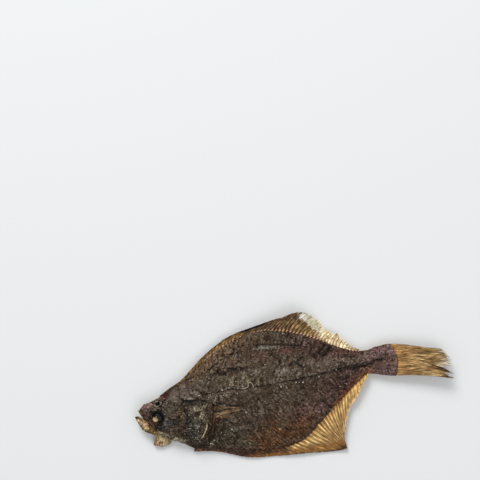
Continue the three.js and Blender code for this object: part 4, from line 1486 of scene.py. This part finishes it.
def makeNosePlates(material, ground):
    bm = bmesh.new()
    tones = []
    for x, y, size, base in nosePlates["plates"]:
        z = ground(x, y) + nosePlates["rise"]

        def place(along, turn):
            unit = onBall(along, turn)
            made = unit * (1 + 0.25 * softNoise(unit * 2 + [x, y, 0], 1.1)[:, None]) * size
            coat = Coat(len(turn), base)
            # Each plate is painted dark round its lower part, as painted shade between the plates,
            # and pink on its top towards the back, as a painted highlight.
            coat.add("ink", 0.8 * ease((0.45 - unit[:, 2]) / 0.5))
            coat.add("pink", 0.6 * ease((unit[:, 2] - 0.8) / 0.2) * (unit[:, 1] > 0))
            return made * [1, 0.85, nosePlates["flat"]] + [x, y, z], coat.tone

        tones.append(shapedBall(bm, nosePlates["sides"], nosePlates["rings"], place))
    finishPiece(bm, "nosePlates", material, np.concatenate(tones))


eyes = {
    "lowerEye": {"shrink": 0.9, "flat": 0.42, "base": "moss"},
    "upperEye": {"shrink": 0.5, "flat": 0.4, "base": "black"},
    "lens": {"place": (-104.9, -10.7), "radius": 2.45, "flat": 0.5, "rise": 1.1},
    "sides": 40,
    "rings": 26,
}


def makeEyes(material, ground):
    def roundPiece(name, centre, radii, dress):
        def place(along, turn):
            unit = onBall(along, turn)
            made = unit * (1 + 0.12 * puffs(unit * radii[0], 1.6)[:, None]) * radii
            return made + centre, dress(unit)

        bm = bmesh.new()
        tone = shapedBall(bm, eyes["sides"], eyes["rings"], place)
        finishPiece(bm, name, material, tone)

    for name in ("lowerEye", "upperEye"):
        (x, y), radius, flat, _ = skin["eyes"][name]
        eye = eyes[name]
        base = ground(x, y)

        def dress(unit):
            coat = Coat(len(unit), eye["base"])
            coat.add("navy", 0.5 * ease((softNoise(unit * 4, 1.4) - 0.1) / 0.3))
            coat.add("black", 0.8 * ease((unit[:, 1] + 0.1) / 0.4))
            return coat.tone

        wide = radius * eye["shrink"]
        radii = [wide, wide * flat, wide * eye["flat"]]
        roundPiece(name + "Ball", np.array([x, y, base + 0.5]), radii, dress)
    lens = eyes["lens"]

    def dressLens(unit):
        coat = Coat(len(unit), "jawPale")
        coat.add("finBrown", 0.6 * patch(unit[:, 0], unit[:, 1], (-0.55, 0.5), 0.5, 0.4))
        coat.add("headGrey", 0.85 * patch(unit[:, 0], unit[:, 1], (0.2, 0.3), 0.42, 0.36))
        coat.add("moss", 0.85 * patch(unit[:, 0], unit[:, 1], (0.75, 0.25), 0.4, 0.55))
        coat.add("umber", 0.8 * ease((np.hypot(unit[:, 0], unit[:, 1]) - 0.86) / 0.14))
        return coat.tone

    x, y = lens["place"]
    wide = lens["radius"]
    centre = np.array([x, y, ground(x, y) + lens["rise"]])
    roundPiece("eyeLens", centre, [wide, wide * 0.95, wide * lens["flat"]], dressLens)


# The thin bones behind the gill cover show in the slit. Each has its places, half width,
# colour, and how far above the others it lies.
gillBones = [
    ([
        (-67.8, -20.4), (-68.5, -23.6), (-70.1, -26.7), (-72.6, -30.0), (-74.4, -32.0),
    ], 0.5, "pale", 0.25),
    ([
        (-64.4, -15.4), (-64.6, -19.4), (-66.4, -24.9), (-70.3, -30.1), (-73.2, -33.4),
    ], 0.5, "umber", 0.0),
    ([(-62.4, -17.6), (-62.8, -21.3), (-64.6, -26.9), (-68.6, -32.0)], 0.6, "umber", 0.0),
]


def makeGillBones(material, ground):
    for index, (path, half, base, above) in enumerate(gillBones):
        points = [(x, y, ground(x, y) + 0.1 + above, half, half * 0.9) for x, y in path]

        def dress(made, along, turn):
            coat = Coat(len(made), base)
            coat.add("umber", 0.7 * ease((np.abs(2 * along - 1) - 0.6) / 0.4))
            coat.shade(np.exp(0.7 * grain(made, 2.0)))
            return coat.tone

        bm = bmesh.new()
        tone = shapedRod(bm, points, dress, aroundCount=14, alongCount=70, roughness=0.12)
        finishPiece(bm, f"gillBone{index + 1}", material, tone)


crumbs = {
    "small": 110,
    "size": (0.14, 0.3),
    "seed": 77,
    "large": [  # x, y, size
        (-51.9, 1.1, 0.5), (-51.9, -2.7, 0.55), (-70.0, 0.4, 0.4), (-63.0, -2.5, 0.35),
        (-57.9, -4.2, 0.4), (-40.3, 0.1, 0.4), (-41.4, -3.6, 0.4), (-37.8, -2.7, 0.35),
        (-8.3, -4.6, 0.75), (3.4, -3.7, 0.45), (5.6, -4.2, 0.35), (8.5, -4.7, 0.5),
        (-4.0, -6.2, 0.35), (21.2, -2.6, 0.4), (36.4, 3.3, 0.4), (34.6, -0.2, 0.45),
        (35.2, -13.3, 0.4), (-50.6, -29.7, 0.5), (-68.1, -37.1, 0.45), (-66.7, -37.7, 0.4),
        (-15.1, -36.1, 0.4), (-67.8, -7.7, 0.4), (-37.8, -18.8, 0.5), (-38.1, -16.4, 0.4),
        (-43.1, -22.4, 0.4), (-17.0, 13.6, 0.35), (0.6, 33.9, 0.4), (-75.8, -33.7, 0.45),
    ],
    "fibre": [
        (-38.8, -0.2), (-35.5, -0.9), (-32.6, 0.1), (-32.0, 2.4), (-30.5, 3.1), (-29.2, 1.6),
        (-28.3, -1.5),
    ],
    "fibreHalf": 0.24,
}


def makeCrumbs(material, ground):
    rng = np.random.default_rng(crumbs["seed"])
    bm = bmesh.new()
    tones = []
    spots = list(crumbs["large"])
    while len(spots) < len(crumbs["large"]) + crumbs["small"]:
        x = rng.uniform(-110, 60)
        share = rng.uniform(-0.85, 0.75)
        middle = middleLine(x)
        width = backEdge(x) - middle if share > 0 else middle - bellyEdge(x)
        y = float(middle) + share * float(width)
        spots.append((x, y, rng.uniform(*crumbs["size"])))
    for x, y, size in spots:
        verts = bmesh.ops.create_icosphere(bm, subdivisions=1, radius=1)["verts"]
        stretch = [rng.uniform(0.6, 1.3), rng.uniform(0.8, 1.4), 0.7]
        shape = np.array([vert.co for vert in verts]) * stretch
        moveVerts(verts, shape * size + [x, y, ground(x, y) + size * 0.3])
        brightest = 0.9 if size > 0.3 else 0.7
        tones.append(np.tile(tints["white"] * rng.uniform(0.4, brightest), (len(verts), 1)))

    def dress(made, along, turn):
        return np.tile(tints["pale"], (len(made), 1))

    half = crumbs["fibreHalf"]
    path = [(x, y, ground(x, y) + 0.2, half, half) for x, y in crumbs["fibre"]]
    tones.append(shapedRod(bm, path, dress, aroundCount=6, alongCount=80))
    finishPiece(bm, "crumbs", material, np.concatenate(tones), smooth=False)


studio = {
    "tilt": 10.87,  # how far the fish's length leans up to the right in the picture
    "aim": (-17.8, 115.53, 6.0),
    "frameWidth": 360.6,
    "lens": 100.0,
    "sensor": 36.0,
    "floor": colour(222, 224, 225),
    "floorSize": 4,
    "floorDrop": 0.0002,  # so that it never cuts into the fish
    "world": 0.58,
    "key": {"at": (-0.3, 1.9, 1.5), "size": 1.1, "power": 40.0},
    "fill": {"at": (0.5, -0.9, 1.3), "size": 1.1, "power": 5.0},
}


def makeStudio():
    scene = bpy.context.scene
    camera = bpy.data.cameras.new("camera")
    camera.lens, camera.sensor_width = studio["lens"], studio["sensor"]
    holder = bpy.data.objects.new("camera", camera)
    away = studio["frameWidth"] * studio["lens"] / studio["sensor"]
    x, y, z = studio["aim"]
    holder.location = Vector((x, y, z + away)) * mm
    holder.rotation_euler = (0, 0, -math.radians(studio["tilt"]))
    scene.collection.objects.link(holder)
    scene.camera = holder

    bm = bmesh.new()
    bmesh.ops.create_grid(bm, x_segments=1, y_segments=1, size=studio["floorSize"])
    mesh = bpy.data.meshes.new("floor")
    bm.to_mesh(mesh)
    bm.free()
    floor = bpy.data.objects.new("floor", mesh)
    floor.location.z = -studio["floorDrop"]
    scene.collection.objects.link(floor)
    paper = Paint("paleFloor", Base_Color=(*studio["floor"], 1), Roughness=0.7,
                  Specular_IOR_Level=0.2)
    mesh.materials.append(paper.material)

    for name in ("key", "fill"):
        spec = studio[name]
        light = bpy.data.lights.new(name, "AREA")
        light.shape, light.size, light.energy = "DISK", spec["size"], spec["power"]
        lamp = bpy.data.objects.new(name, light)
        lamp.location = spec["at"]
        lamp.rotation_euler = (-Vector(spec["at"])).to_track_quat("-Z", "Y").to_euler()
        scene.collection.objects.link(lamp)
    world = bpy.data.worlds.new("studio")
    world.use_nodes = True
    world.node_tree.nodes["Background"].inputs["Color"].default_value = (1, 1, 1, 1)
    world.node_tree.nodes["Background"].inputs["Strength"].default_value = studio["world"]
    scene.world = world
    scene.view_settings.view_transform = "Standard"


makeStudio()
print("studio ready")
hide = paintSkin("driedSkin")
body = makeBody(hide)
tree = BVHTree.FromObject(body, bpy.context.evaluated_depsgraph_get())


def ground(x, y):  # the height of the finished skin under a place
    above = Vector((x * mm, (y + fish["backboneY"]) * mm, 0.05))
    hit = tree.ray_cast(above, Vector((0, 0, -1)))[0]
    return float(skinSurface(np.array([x]), np.array([y]))[0]) if hit is None else hit.z / mm


backMaterial = paintFin("driedBackFin")
makeFin(backFin, backMaterial, dressBackFin)
makeKnuckles(backFin, backMaterial)
makeFin(bellyFin, paintFin("driedBellyFin"), dressBellyFin)
smallMaterial = paintFin("driedSmallFin")
makeFin(breastFin, smallMaterial, dressBreastFin)
makeFin(throatFin, smallMaterial, dressThroatFin)
makeTail(paintFin("driedTailFin"))
print("fins ready")
jawHide = paintSkin("driedJaw")
makeMouth(jawHide)
makeNosePlates(jawHide, ground)
makeGillBones(jawHide, ground)
makeEyes(paintPlain("driedEye"), ground)
makeCrumbs(paintPlain("dryCrumb"), ground)
print("pieces ready")
